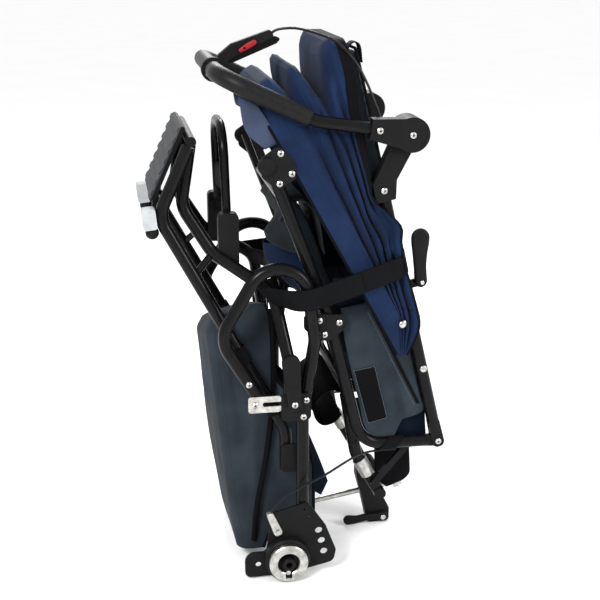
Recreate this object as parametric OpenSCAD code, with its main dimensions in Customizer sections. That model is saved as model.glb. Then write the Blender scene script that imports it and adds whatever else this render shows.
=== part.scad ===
// Special needs buggy, folded and stood on its rear end, with its wheels and casters off.
// X points the way that is up in use, Z the way that is forward in use, and the left side is at -Y.
// It stands on the two rear hubs and on the jaw of the tilt clamp, at Z = 0.

/* [Tubes] */
// Outside diameter of the frame tubes
tube_d = 25; // [22:0.5:28]
// Centre-line radius of the tube bends
bend_r = 60; // [50:1:66]
// How much fatter a tube is where it was bent
bend_swell = 0.1; // [0.05:0.01:0.2]
// Diameter of the cross tubes
cross_d = 20; // [16:0.5:24]
// Diameter of the handlebar tube
handle_d = 24; // [20:0.5:26]
// Outside diameter of the foam grip
grip_d = 34; // [30:0.5:36]
// Diameter of the calf bar
calf_d = 18; // [14:0.5:20]
// Diameter of the hood bows
bow_d = 8; // [6:0.5:9]

/* [Widths] */
// Half width between the rear legs
leg_half = 196; // [194:0.5:204]
// Half width between the seat rails, which is also that of the back tubes
seat_half = 165; // [160:0.5:167]
// Half width between the handle arms
handle_half = 195; // [193:0.5:205]
// Half width between the front rails at the toe
toe_half = 125; // [118:1:132]
// Half width between the front hangers at the toe
hanger_half = 98; // [92:0.5:99]
// Half width between the seat stays
stay_half = 130; // [110:1:136]
// Half width between the legs of the calf bar
calf_half = 84; // [70:0.5:86]

/* [Clearances] */
// Gap between pieces that lie against each other
fit_gap = 0.3; // [0.2:0.05:0.5]
// Radial play of a pin in its bore
pin_play = 0.05; // [0.03:0.01:0.1]
// Radial play of the tilt rod in its clamp
rod_play = 0.8; // [0.6:0.05:1.2]
// Gap around cloth and padding
soft_gap = 0.6; // [0.4:0.05:1.5]

/* [Wheel end] */
// Distance of the hub behind the middle of the folded buggy
hub_setback = 33; // [24:1:44]
// Diameter of the brake drum, which stands on the floor
drum_d = 90; // [80:1:96]
// Width of the brake drum
drum_w = 22; // [16:0.5:28]
// Edge break of the drum and its ring
drum_edge = 2; // [1:0.25:3]
// Outside diameter of the bright brake ring
ring_d = 78; // [68:0.5:79]
// Hole in the bright brake ring
ring_hole_d = 42; // [34:0.5:48]
// Thickness of the bright brake ring
ring_t = 12; // [8:0.5:16]
// Width of the keyhole slot in the brake ring
keyhole_w = 13; // [9:0.5:16]
// Depth of the keyhole slot beyond the ring's hole
keyhole_deep = 11; // [6:0.5:13]
// Diameter of the axle boss
boss_d = 26; // [20:0.5:30]
// Length of the axle boss from the wheel plate
boss_len = 40; // [36:0.5:46]
// Bore for the quick-release axle of the wheel
axle_bore_d = 12.2; // [10:0.1:14]
// Diameter of the axle beam
beam_d = 28; // [24:0.5:32]
// Thickness of the wheel plates and brackets
plate_t = 5; // [4:0.25:6]
// Rise of the wheel plate above the hub
plate_rise = 116; // [105:1:125]
// Reach of the wheel plate in front of the hub
plate_reach = 102; // [90:1:112]
// Reach of the plate's lobe behind the hub
lobe_reach = 84; // [76:1:92]
// Half height of the plate's lobe
lobe_half = 27; // [22:0.5:29]
// Diameter of the wheel position holes
place_hole_d = 15; // [12:0.25:17]
// Diameter of the lobe hole
lobe_hole_d = 12; // [8:0.5:16]
// Diameter of the small plate holes
small_hole_d = 4; // [3:0.25:6]

/* [Brake arms] */
// Place of the brake arm's pivot above the hub
arm_rise = 58; // [56:1:66]
// Place of the brake arm's pivot behind the hub
arm_setback = 18; // [10:1:24]
// Length of the brake arm
arm_len = 42; // [34:1:50]
// Thickness of the brake arm
arm_t = 6; // [4:0.25:8]
// Lean of the brake arm from upright
arm_lean = 22; // [10:1:30]
// Diameter of small pivot pins
small_pin_d = 8; // [6:0.25:9]
// Diameter of large pivot pins
pin_d = 10; // [8:0.25:11]

/* [Rear legs] */
// Place of the rear leg in front of the hub
leg_offset = 36; // [30:1:42]
// Height of the leg's foot above the hub
foot_rise = 67; // [60:1:75]
// Straight length of the rear leg below its elbow
leg_rise = 240; // [225:1:255]
// Width of the side hoop between its bend corners
hoop_w = 185; // [178:1:192]
// Height of the side hoop above the leg's elbow, to its bend corner
hoop_h = 410; // [400:1:425]
// Width of the lock bracket
lock_w = 59; // [54:0.5:64]
// Height of the lock bracket
lock_h = 56; // [50:0.5:62]
// Length of the lock lever from its pivot
lever_len = 100; // [85:1:112]
// Width of the lock lever at its free end
lever_w = 37; // [30:0.5:38]
// Width of the lock lever at its pivot
lever_root_w = 25; // [20:0.5:28]
// Thickness of the lock lever
lever_t = 12; // [8:0.5:16]
// Length of the slotted hoop link
link_len = 64; // [58:0.5:66]
// Height of the slotted hoop link
link_h = 33; // [26:0.5:36]
// Thickness of the slotted hoop link
link_t = 4; // [3:0.25:5]
// Height of the slot in the hoop link
slot_h = 9; // [6:0.5:12]
// Length of the slot in the hoop link
slot_len = 36; // [26:0.5:40]

/* [Front frame] */
// Distance of the front rail's rear end behind the leg
rail_setback = 29; // [26:0.5:34]
// Height of the front rail's rear end above the leg's foot
rail_foot = 103; // [95:1:110]
// Length of the front rail's upright rear end
rail_tail = 85; // [76:1:92]
// Reach of the front rail away from its rear corner
rail_reach = 236; // [228:1:244]
// Rise of the front rail from its rear corner to the toe corner
rail_rise = 435; // [425:1:445]
// Reach of the toe end from the toe corner
toe_reach = 60; // [54:1:66]
// Rise of the toe end from the toe corner
toe_rise = 133; // [126:1:140]
// Distance of the hanger's lower end behind the leg
hanger_setback = 26; // [25.5:0.25:30]
// Length of the hanger's upright lower end
hanger_tail = 92; // [84:1:98]
// Reach of the hanger from its lower end to its toe corner
hanger_reach = 194; // [188:1:198]
// Rise of the hanger from its lower end to its toe corner
hanger_rise = 390; // [384:1:396]
// Length of the gusset between rail and leg
gusset_h = 60; // [50:1:70]
// Diameter of the strut between rail and hanger
strut_d = 14; // [10:0.5:18]
// Width of the caster socket across the buggy
socket_w = 30; // [27:0.5:34]
// Length of the caster socket along the buggy
socket_len = 40; // [34:0.5:44]
// Depth of the caster socket along its stem
socket_deep = 26.5; // [25.5:0.1:26.8]
// Reach of the socket's mouth from the toe corner
socket_reach = 31; // [30.6:0.1:32]
// Drop of the socket's middle below the toe corner
socket_drop = 4; // [2:0.5:8]
// Lean of the caster stem, in degrees
stem_lean = 6; // [3:0.5:9]
// Bore for the caster stem
stem_bore_d = 12.2; // [10:0.1:14]
// Depth of the caster stem bore
stem_deep = 18; // [14:0.5:20]
// Diameter of the caster release knob
knob_d = 26; // [20:0.5:28]
// Drop of the release knob below the socket's middle
knob_drop = 27.5; // [26:0.5:30]
// Reach of the release knob from the socket's middle
knob_reach = 5; // [2:0.5:5.5]

/* [Footplate] */
// Length of the footplate
foot_len = 152; // [135:1:160]
// Half width of the footplate
foot_half = 100; // [85:1:106]
// Distance of the footplate's heel from its hinge
foot_heel = 18; // [16:0.5:24]
// Height of the footplate's frame off the hinge
foot_off = 20; // [18:0.5:26]
// Thickness of the footplate's frame
foot_t = 8; // [6:0.5:10]
// Thickness of the tread
tread_t = 5; // [3:0.5:7]
// Width of each hinge lug
lug_w = 20; // [14:0.5:26]
// Half distance between the middles of the hinge lugs
lug_half = 70; // [55:1:80]
// Wall of the hinge eyes
eye_wall = 6; // [5:0.25:8]

/* [Calf bar] */
// Height of the calf bar's pivot above the hanger
calf_up = 77; // [74:1:82]
// Gap between the calf bar and the handle grip above it
calf_room = 92; // [88:1:100]
// Backward lean of the calf bar over its height
calf_lean = 5; // [3:0.5:8]
// Thickness of the calf bar's joint blocks
block_t = 24; // [22:0.5:28]
// Width of the calf bar's joint blocks
block_w = 40; // [34:0.5:46]
// Height of the joint blocks above their pivot
block_top = 22; // [18:0.5:26]
// Depth of the joint blocks below their pivot
block_deep = 84; // [80:0.5:88]
// Width of the calf bar's eyes
eye_w = 18; // [14:0.5:18]
// Height of the calf band
band_h = 55; // [40:1:65]
// Thickness of the calf band
band_t = 6; // [4:0.5:8]

/* [Seat] */
// Height of the seat pivot
seat_pivot_h = 530; // [524:1:536]
// Distance from the seat pivot to the seat rail
seat_pivot_reach = 38; // [34:0.5:44]
// Forward length of the seat rail above the pivot
seat_rise = 315; // [305:1:322]
// Lean of the seat rail over that length
seat_lean = 118; // [112:1:124]
// Depth of the seat rail's rear corner below the pivot
seat_drop = 273; // [268:1:278]
// Lean of the seat rail below the pivot
seat_drop_lean = 67; // [62:1:72]
// Reach of the rear end of the seat rail to the back hinge
hinge_reach = 160; // [154:1:166]
// Thickness of the hinge eye
hinge_eye_t = 12; // [10:0.5:14]
// Distance from the hinge to where the tubes end
hinge_neck = 20; // [18:0.5:24]
// Thickness of the back hinge's fork plates
fork_t = 4; // [3:0.25:5]
// Width of the brace between stay and rail
brace_w = 13.5; // [10:0.5:18]
// Distance of that brace from the tilt cross tube, along the stay
brace_start = 32; // [28:1:36]
// Length of the bright sleeve on each stay
sleeve_len = 40; // [30:1:44]
// Wall of that sleeve
sleeve_wall = 2.2; // [1.5:0.1:3]
// Half length of the tilt cross tube
tilt_bar_half = 145; // [143:1:160]
// Diameter of the cap on the knee plate
cap_d = 32; // [26:0.5:36]
// Thickness of the cap on the knee plate
cap_t = 8; // [5:0.5:12]
// Width of the knee plate
knee_w = 68; // [60:1:74]
// Height of the knee plate
knee_h = 86; // [78:1:92]
// Length of the pommel post
post_len = 112; // [95:1:118]
// Width of the pommel post
post_w = 22; // [16:0.5:26]
// Thickness of the pommel post
post_t = 16; // [12:0.5:18]
// Offset of the pommel post from the middle
post_off = 20; // [0:1:40]

/* [Tilt] */
// Diameter of the tilt rod
rod_d = 12; // [10:0.25:14]
// Length of the tilt rod from its pivot
rod_len = 248; // [240:1:256]
// Reach of the rod's pivot in front of the hub
rod_pivot_reach = 34; // [32:0.5:40]
// Distance of the tilt clamp along the rod from its pivot
clamp_reach = 186.8; // [182:0.2:192]
// Width of the tilt rod's eye
rod_eye_w = 14; // [12:0.5:18]
// Distance from the tilt cross tube to the rod
rod_drop = 56; // [50:0.5:60]
// Rise of the rod from its pivot, in degrees
rod_angle = 9.8; // [9:0.1:11]
// Width of the tilt clamp
clamp_w = 30; // [24:0.5:36]
// Wall of the tilt clamp around its cross tube
clamp_wall = 9; // [7:0.5:11]
// Reach of the quick-release pivot from the rod clamp
qr_reach = 27; // [24:0.5:32]
// Half height of the clamp's jaw, which stands on the floor
jaw_half = 16; // [15:0.5:17]
// Length of the quick-release lever
qr_len = 90; // [80:1:96]
// Thickness of the quick-release lever
qr_t = 12; // [8:0.5:14]

/* [Back and handle] */
// Length of the back tube
back_len = 554; // [546:1:562]
// Lean of the back tube, in degrees
back_lean = 13.4; // [12.8:0.1:14]
// Reach of the handle hinge beyond the back tube's end
handle_hinge_reach = 49; // [46:0.5:52]
// Height of the handle hinge above the back tube's end
handle_hinge_rise = 95.5; // [92:0.5:98]
// Diameter of the handle hinge discs
disc_d = 66; // [60:0.5:70]
// Thickness of the handle hinge housings
housing_t = 29.4; // [28:0.1:31]
// Length of the housings over their tubes
housing_grip = 36; // [30:0.5:42]
// Width of the housings over their tubes
housing_w = 38; // [34:0.5:42]
// Diameter of the handle hinge pin
hinge_pin_d = 12; // [10:0.25:14]
// Distance from the handle hinge to the first bend of the arm
arm_reach = 179; // [172:1:186]
// Rise of the arm to that bend
arm_lift = 28; // [24:0.5:32]
// Distance from that bend to the cross bar
bar_reach = 177; // [168:1:184]
// Rise from that bend to the cross bar
bar_lift = 85; // [78:1:92]
// Length of the arm between its bend and the foam grip
grip_start = 15; // [13:0.5:24]
// Place of the brake perch along the cross bar, from the middle
perch_off = 70; // [55:1:90]
// Width of the brake perch
perch_w = 15; // [12:0.5:20]
// Wall of the brake perch around the grip
perch_wall = 6; // [4.5:0.25:8]
// Reach of the brake perch from the cross bar
perch_reach = 116; // [105:1:122]
// Rise of the brake perch from the cross bar
perch_rise = 66; // [60:1:72]
// Thickness of the brake lever
blade_t = 10; // [8:0.5:12]
// Thickness of the parking tab
tab_t = 8; // [6:0.5:10]
// Diameter of the parking tab's pin
tab_pin_d = 5; // [4:0.25:6]
// Length of the recline lever
recline_len = 106; // [95:1:112]
// Width of the recline lever
recline_w = 32; // [26:0.5:34]
// Thickness of the recline lever
recline_t = 14; // [10:0.5:18]
// Distance of the recline lever's pivot from the back tube
recline_off = 39.4; // [37:0.2:42]
// Height of the recline lever's pivot up the back tube
recline_up = 337; // [332:1:342]

/* [Hood] */
// Distance of the hood pivot up the back tube
hood_up = 279; // [272:1:286]
// Distance of the hood pivot in front of the back tube
hood_off = 22.8; // [21:0.2:25]
// Thickness of the hood pivot's lug
hood_lug_t = 6; // [5:0.25:7]
// Length of the hood bows
bow_len = 522; // [505:1:528]
// Half width of the hood at its bow tops
hood_top_half = 162; // [150:0.5:165]
// Half width of the inner bow at its pivot
mid_bow_half = 187; // [186.5:0.25:188]
// Half width of the outer bow at its pivot
front_bow_half = 196; // [195.5:0.25:197]
// Angle of the rear edge of the folded hood
hood_rear_angle = 104.5; // [104:0.1:105]
// Angle of the middle bow
mid_bow_angle = 113; // [112.5:0.1:113.5]
// Angle of the front bow
front_bow_angle = 120; // [119.5:0.1:120.5]
// Angle of the front edge of the hood
valance_angle = 125; // [124:0.1:125.2]
// Thickness of the hood's cheeks
cheek_t = 8; // [5:0.5:10]
// Thickness of the bow eyes
bow_eye_t = 5; // [4:0.25:6]

/* [Soft parts] */
// Thickness of the seat cushion at its edge
seat_pad_t = 20; // [14:0.5:24]
// Crown of the seat cushion
seat_crown = 12; // [6:0.5:16]
// Length of the seat cushion
seat_pad_len = 340; // [310:1:346]
// Thickness of the back cushion at its edge
back_pad_t = 44; // [30:0.5:48]
// Crown of the back cushion
back_crown = 14; // [8:0.5:18]
// Length of the back cushion
back_pad_len = 748; // [720:1:756]
// Half width of the seat cushion
pad_half = 147; // [138:0.5:148]
// Height of the side panels above the seat pivot
panel_rise = 45; // [20:1:60]
// Thickness of the side panels
panel_t = 4; // [3:0.5:6]
// Thickness of the basket's cloth
basket_wall = 3; // [2:0.25:5]
// Half width of the basket at its front
basket_front_half = 120; // [108:1:122]
// Half width of the basket at its rear
basket_rear_half = 142; // [130:1:145]
// Gap between the basket and the calf bar's joint blocks above it
basket_gap = 71.5; // [64:0.5:98]
// Depth of the basket
basket_deep = 218; // [205:1:224]
// Length of the basket's loops along the front rails
loop_len = 36; // [24:1:44]
// Width of the fold strap
strap_w = 38; // [30:1:40]
// Thickness of the fold strap
strap_t = 2.5; // [2:0.25:3]
// Distance of the strap's loop behind the seat pivot
strap_back = 48; // [46:0.5:52]
// Height of the strap's loop above the seat pivot
strap_up = 48; // [36:1:60]
// Slack between the strap and the frame inside it
strap_slack = 3; // [2:0.5:6]
// Diameter of the brake cables
cable_d = 5; // [4:0.25:6]

/* [Screws] */
// Diameter of the screw heads
head_d = 12; // [9:0.5:13]
// Height of the screw heads
head_h = 4; // [3:0.25:5]
// Diameter of the screw shanks
shank_d = 5; // [4:0.25:6]

/* [Hidden] */
$fn = 48;

// Colours
tube_black = [0.06, 0.06, 0.065];
plastic_black = [0.1, 0.1, 0.11];
bright_metal = [0.78, 0.78, 0.8];
light_grey = [0.66, 0.67, 0.68];
tread_grey = [0.3, 0.31, 0.33];
cloth_grey = [0.28, 0.32, 0.36];
cloth_navy = [0.13, 0.19, 0.32];
cloth_black = [0.07, 0.07, 0.08];
brake_red = [0.75, 0.1, 0.15];

// Shares of an edge and numbers of steps that the rounding functions use
arc_room_share = 0.45;
arc_steps = 5;
corner_r = 10;
seat_in = 0.4;

// Points are [x, z] in the side view, or [x, y, z] in space
function unit(v) = v / norm(v);
function left_of(v) = [-v[1], v[0]];
function at(p, y) = [p[0], y, p[1]];
function toward(a, b, d) = a + unit(b - a) * d;
function at_height(a, b, z) = a + (b - a) * (z - a[1]) / (b[1] - a[1]);
function place(shares, w, h, base) = [for (s = shares) base + [s[0] * w, s[1] * h]];
function aim(angle) = [cos(angle), sin(angle)];

// Turn of a bent line at point i, and the length that its bend takes off each side
function turn_at(p, i) = acos(min(1, max(-1, unit(p[i] - p[i - 1]) * unit(p[i + 1] - p[i]))));
function trim_at(p, i, r) = i <= 0 || i >= len(p) - 1 ? 0 : r * tan(turn_at(p, i) / 2);
function side_of(v) = unit(abs(v[1]) < 0.9 ? cross(v, [0, 1, 0]) : cross(v, [0, 0, 1]));

// One rounded corner b of an outline between its neighbours a and c
function corner(a, b, c, r) =
  let (
    u = unit(a - b),
    v = unit(c - b),
    half = acos(u * v) / 2,
    cut = min(r / tan(half), arc_room_share * min(norm(a - b), norm(c - b))),
    fillet = cut * tan(half),
    mid = b + unit(u + v) * fillet / sin(half),
    s = b + u * cut - mid,
    e = b + v * cut - mid,
    first = atan2(s[1], s[0]),
    sweep = atan2(s[0] * e[1] - s[1] * e[0], s * e)
  )
  [for (k = [0:arc_steps]) mid + fillet * aim(first + sweep * k / arc_steps)];

// An outline with all its corners rounded, by one radius or by a list of radii
function rounded(p, r) =
  let (n = len(p))
  [for (i = [0:n - 1]) each corner(p[(i + n - 1) % n], p[i], p[(i + 1) % n], is_num(r) ? r : r[i])];

// A bar from a to b in the side view, w0 wide at a and w1 wide at b, with its ends rounded
function bar(a, b, w0, w1) =
  let (s = unit(b - a), n = left_of(s))
  rounded(
    [
      a - s * w0 / 2 + n * w0 / 2, b + s * w1 / 2 + n * w1 / 2,
      b + s * w1 / 2 - n * w1 / 2, a - s * w0 / 2 - n * w0 / 2
    ],
    [w0 / 2, w1 / 2, w1 / 2, w0 / 2] * 2 * arc_room_share
  );

// A smooth line through hand-chosen points, with this many steps between two of them
function smooth(p, steps) =
  let (n = len(p) - 1)
  concat(
    [
      for (i = [0:n - 1], k = [0:steps - 1])
        let (
          a = p[max(0, i - 1)], b = p[i], c = p[i + 1], d = p[min(n, i + 2)],
          t = k / steps
        )
        0.5 * (2 * b + (c - a) * t + (2 * a - 5 * b + 4 * c - d) * t * t
               + (3 * b - a - 3 * c + d) * t * t * t)
    ],
    [p[n]]
  );

// Set children with their own axes along x, y and z at a place
module set_on(x, y, z, to) {
  multmatrix([
    [x[0], y[0], z[0], to[0]],
    [x[1], y[1], z[1], to[1]],
    [x[2], y[2], z[2], to[2]],
    [0, 0, 0, 1]
  ]) children();
}

// The children, and their mirror image on the other side
module both_sides() {
  children();
  mirror([0, 1, 0]) children();
}

// A side-view outline drawn out from y to y - t
module slab(y, t) {
  translate([0, y, 0]) rotate([90, 0, 0]) linear_extrude(t) children();
}

// A round bar across the buggy at a side-view point, from y0 up to y1
module across(p, y0, y1, d) {
  translate([p[0], y0, p[1]]) rotate([-90, 0, 0]) cylinder(h = y1 - y0, d = d);
}

// A round bar from point a to point b in space
module rod(a, b, d) {
  along = unit(b - a);
  side = side_of(along);
  set_on(side, cross(along, side), along, a) cylinder(h = norm(b - a), d = d);
}

// A bent tube along its corner points
module bent_tube(p, d, r) {
  last = len(p) - 1;
  for (i = [0:last - 1]) {
    along = unit(p[i + 1] - p[i]);
    from = p[i] + along * (trim_at(p, i, r) - (i > 0 ? seat_in : 0));
    to = p[i + 1] - along * (trim_at(p, i + 1, r) - (i < last - 1 ? seat_in : 0));
    rod(from, to, d - bend_swell);
  }
  for (i = [1:1:last - 1]) {
    before = unit(p[i] - p[i - 1]);
    after = unit(p[i + 1] - p[i]);
    inward = unit(after - before * (before * after));
    start = p[i] - before * trim_at(p, i, r);
    set_on(-inward, before, cross(-inward, before), start + inward * r)
      rotate_extrude(angle = turn_at(p, i)) translate([r, 0]) circle(d = d);
  }
}

// A thin flexible line swept along smooth points
module swept_line(p, d, sides) {
  last = len(p) - 1;
  rings = [
    for (i = [0:last])
      let (
        t = unit(p[min(last, i + 1)] - p[max(0, i - 1)]),
        u = unit(cross(t, [0, 1, 0])),
        v = cross(t, u)
      )
      for (k = [0:sides - 1]) p[i] + (u * cos(360 * k / sides) + v * sin(360 * k / sides)) * d / 2
  ];
  faces = concat(
    [[for (k = [0:sides - 1]) k]],
    [
      for (i = [0:last - 1], k = [0:sides - 1])
        let (a = i * sides + k, b = i * sides + (k + 1) % sides)
        each [[a, a + sides, b], [b, a + sides, b + sides]]
    ],
    [[for (k = [sides - 1:-1:0]) last * sides + k]]
  );
  polyhedron(rings, faces);
}

// A screw head with a short shank, its seat at y, facing outwards on the left side
module screw(p, y) {
  translate([p[0], y, p[1]]) rotate([90, 0, 0]) {
    cylinder(h = head_h / 2, d = head_d);
    translate([0, 0, head_h / 2]) cylinder(h = head_h / 2, d1 = head_d, d2 = head_d / 2);
  }
}

// A padded cushion with a flat back, a crowned front, drawn-in edges and cross channels.
// Its length runs along z from 0, its width along y, and its crowned front faces -x.
cushion_rows = 26;
cushion_cols = 12;
edge_share = 0.7;
channel_share = 0.5;
module cushion(l, half, t, crown, channels) {
  function bulge(s) = 1 - pow(abs(2 * s - 1), 4);
  function groove(s) = pow(abs(cos(180 * channels * s)), 12);
  function depth(u, v) =
    let (full = bulge(u) * bulge(v))
    t * (edge_share + (1 - edge_share) * sqrt(full)) + crown * full * (1 - channel_share * groove(u));
  across_n = cushion_cols + 1;
  grid = (cushion_rows + 1) * across_n;
  points = concat(
    [for (i = [0:cushion_rows], j = [0:cushion_cols])
      [-depth(i / cushion_rows, j / cushion_cols), half * (2 * j / cushion_cols - 1), l * i / cushion_rows]],
    [for (i = [0:cushion_rows], j = [0:cushion_cols])
      [0, half * (2 * j / cushion_cols - 1), l * i / cushion_rows]]
  );
  function cell(i, j) = i * across_n + j;
  faces = concat(
    [for (i = [0:cushion_rows - 1], j = [0:cushion_cols - 1])
      each [[cell(i, j), cell(i + 1, j), cell(i + 1, j + 1)],
            [cell(i, j), cell(i + 1, j + 1), cell(i, j + 1)]]],
    [for (i = [0:cushion_rows - 1], j = [0:cushion_cols - 1])
      each [[cell(i, j), cell(i + 1, j + 1), cell(i + 1, j)] + [grid, grid, grid],
            [cell(i, j), cell(i, j + 1), cell(i + 1, j + 1)] + [grid, grid, grid]]],
    [for (i = [0:cushion_rows - 1])
      each [[cell(i, 0), cell(i, 0) + grid, cell(i + 1, 0)],
            [cell(i + 1, 0), cell(i, 0) + grid, cell(i + 1, 0) + grid]]],
    [for (i = [0:cushion_rows - 1])
      each [[cell(i, cushion_cols), cell(i + 1, cushion_cols), cell(i, cushion_cols) + grid],
            [cell(i + 1, cushion_cols), cell(i + 1, cushion_cols) + grid, cell(i, cushion_cols) + grid]]],
    [for (j = [0:cushion_cols - 1])
      each [[cell(0, j), cell(0, j + 1), cell(0, j) + grid],
            [cell(0, j + 1), cell(0, j + 1) + grid, cell(0, j) + grid]]],
    [for (j = [0:cushion_cols - 1])
      each [[cell(cushion_rows, j), cell(cushion_rows, j) + grid, cell(cushion_rows, j + 1)],
            [cell(cushion_rows, j + 1), cell(cushion_rows, j) + grid, cell(cushion_rows, j + 1) + grid]]]
  );
  polyhedron(points, faces);
}

// Faces and layers across the buggy
tube_r = tube_d / 2;
leg_face = leg_half + tube_r + fit_gap;
plate_face = leg_face + plate_t;
seat_face = seat_half + tube_r + fit_gap;

// Wheel end and rear leg
hub = [-hub_setback, drum_d / 2];
leg_foot = hub + [leg_offset, foot_rise];
leg_elbow = leg_foot + [0, leg_rise];
hoop_shares = [[0, 0], [0.13, 0.35], [-0.057, 1], [-0.87, 0.38], [-0.487, 0.088]];
hoop = place(hoop_shares, hoop_w, hoop_h, leg_elbow);
hoop_end = hoop[len(hoop) - 1];
seat_pivot = at_height(hoop[1], hoop[2], seat_pivot_h);
arm_pivot = hub + [-arm_setback, arm_rise];
arm_tip = arm_pivot + arm_len * aim(90 + arm_lean);

// Front rails, hangers and toe
rail_tail_end = leg_foot + [-rail_setback, rail_foot];
rail_corner = rail_tail_end + [0, rail_tail];
toe_corner = rail_corner + [-rail_reach, rail_rise];
toe_end = toe_corner + [toe_reach, toe_rise];
toe_aim = unit(toe_end - toe_corner);
rail_half = seat_half;
rail_path = [
  at(rail_tail_end, -rail_half), at(rail_corner, -rail_half),
  at(toe_corner, -toe_half), at(toe_end, -toe_half)
];
toe_bar = toe_end + toe_aim * (cross_d / 2 + fit_gap);
hanger_end = leg_elbow + [-hanger_setback, lock_h / 8];
hanger_knee_shares = [[-0.124, 0.57], [-0.706, 0.763]];
hanger_knees = place(hanger_knee_shares, hanger_reach, hanger_rise, hanger_end);
hanger_toe = hanger_end + [-hanger_reach, hanger_rise];
hanger_top = toe_bar - [0, cross_d / 2 + 3 * fit_gap];
hanger_knee_half_shares = [0.53, 0.143];
function hanger_out(share) = hanger_half + (leg_half - hanger_half) * share;
hanger_path = [
  at(hanger_end, -leg_half), at(hanger_end + [0, hanger_tail], -leg_half),
  at(hanger_knees[0], -hanger_out(hanger_knee_half_shares[0])),
  at(hanger_knees[1], -hanger_out(hanger_knee_half_shares[1])),
  at(hanger_toe, -hanger_half), at(hanger_top, -hanger_half)
];
stem_aim = aim(stem_lean);
socket_mouth = toe_corner - [socket_reach, socket_drop];
bend_sag_share = 0.103;
foot_pivot = toe_corner + [bend_r * bend_sag_share, 0];

// Tilt rod, clamp and the cross tube that the clamp hangs on
rod_pivot = hub + [rod_pivot_reach, 0];
rod_aim = aim(rod_angle);
rod_clamp = rod_pivot + rod_aim * clamp_reach;
tilt_bar = rod_clamp + left_of(rod_aim) * rod_drop;
qr_pivot = [rod_clamp[0] + qr_reach, jaw_half];
rod_eye_half = rod_eye_w / 2;

// Seat
seat_knuckle = seat_pivot + [seat_pivot_reach, 0];
seat_front = seat_knuckle + [-seat_lean, seat_rise];
seat_corner = seat_knuckle + [seat_drop_lean, -seat_drop];
back_hinge = seat_corner + [hinge_reach, -fit_gap];
rear_cross = seat_knuckle + (seat_corner - seat_knuckle) * 0.604;
front_cross = seat_knuckle + (seat_front - seat_knuckle) * 0.76;
seat_aim = unit(seat_front - seat_knuckle);
stay_knee_shares = [0.32, 0.39];
stay_knee = [
  rear_cross[0] + (tilt_bar[0] - rear_cross[0]) * stay_knee_shares[0],
  tilt_bar[1] + (rear_cross[1] - tilt_bar[1]) * stay_knee_shares[1]
];

// Back, handle and hood
back_aim = aim(90 + back_lean);
back_end = back_hinge + back_aim * back_len;
handle_hinge = back_end + [handle_hinge_reach, handle_hinge_rise];
socket_face = seat_half + housing_t / 2;
yoke_face = socket_face + 2 * fit_gap;
arm_bend = handle_hinge + [-arm_reach, arm_lift];
bar_mid = arm_bend + [-bar_reach, bar_lift];
arm_half = yoke_face + housing_t / 2;
arm_start = toward(handle_hinge, arm_bend, disc_d * 0.8);
bar_path = [
  at(arm_start, -arm_half), at(arm_bend, -arm_half), at(bar_mid, -arm_half),
  at(bar_mid, arm_half), at(arm_bend, arm_half), at(arm_start, arm_half)
];
grip_from = toward(arm_bend, bar_mid, grip_start);
grip_path = [
  at(grip_from, -arm_half), at(bar_mid, -arm_half), at(bar_mid, arm_half), at(grip_from, arm_half)
];
perch_end = bar_mid + [perch_reach, perch_rise];
blade_pivot_shares = [0.25, 0.3];
blade_pivot = bar_mid + [perch_reach * blade_pivot_shares[0], perch_rise * blade_pivot_shares[1]];
tab_pivot_shares = [0.5, 0.6];
tab_pivot = bar_mid + [perch_reach * tab_pivot_shares[0], perch_rise * tab_pivot_shares[1]];
recline_pivot = back_hinge + back_aim * recline_up - left_of(back_aim) * recline_off;
hood_pivot = back_hinge + back_aim * hood_up + left_of(back_aim) * hood_off;

// Calf bar, on the hangers and below the handle grip
calf_share = 0.717;
calf_pivot = hanger_knees[0] + (hanger_knees[1] - hanger_knees[0]) * calf_share + [0, calf_up];
calf_top = [calf_pivot[0] - calf_lean, bar_mid[1] - grip_d / 2 - calf_room];
block_face = calf_half + eye_w / 2 + fit_gap;
band_share = 0.29;
band_rise = (calf_top[1] - calf_pivot[1] - band_h) * band_share;

// Chassis

// The tube across the rear, with the lug and stub that the tilt rod turns on
module axle_beam() color(tube_black) {
  lug_t = plate_t + fit_gap;
  across(hub, -leg_half - tube_r, leg_half + tube_r, beam_d);
  slab(rod_eye_half + fit_gap + lug_t, lug_t) polygon(bar(hub, rod_pivot, beam_d * 1.1, pin_d * 2.2));
  across(rod_pivot, -rod_eye_half - fit_gap, rod_eye_half + fit_gap + lug_t / 2, pin_d);
}

// The plates that carry the hubs, with three wheel positions and a drilled lobe
plate_shares = [[0.43, 1], [0.79, 0.53], [1, 0.05], [0.95, -0.17], [0.55, -0.25], [0, -0.34]];
plate_corner_shares = [1.4, 1.4, 1.4, 1.4, 1.4, 1.4, 0.4, 2.4, 2.4, 1, 1.4];
place_hole_shares = [[0.65, 0.44], [0.705, 0.24], [0.755, 0.03]];
small_hole_shares = [[0.36, 0.86], [0.45, 0.71]];
module wheel_plates() color(plastic_black) both_sides() slab(-leg_face, plate_t) difference() {
  lobe = hub - [lobe_reach - lobe_half, lobe_half * 0.55];
  polygon(rounded(
    concat(
      place(plate_shares, plate_reach, plate_rise, hub),
      [
        lobe + [0, -lobe_half], lobe + [-lobe_half, -lobe_half], lobe + [-lobe_half, lobe_half],
        lobe + [lobe_half * 0.6, lobe_half], hub + [-plate_reach * 0.29, plate_rise * 0.83]
      ]
    ),
    plate_corner_shares * corner_r
  ));
  translate(lobe) circle(d = lobe_hole_d);
  for (p = place(place_hole_shares, plate_reach, plate_rise, hub)) translate(p) circle(d = place_hole_d);
  for (p = place(small_hole_shares, plate_reach, plate_rise, hub)) translate(p) circle(d = small_hole_d);
  translate(hub) circle(d = axle_bore_d + 2 * drum_edge);
}

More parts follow.
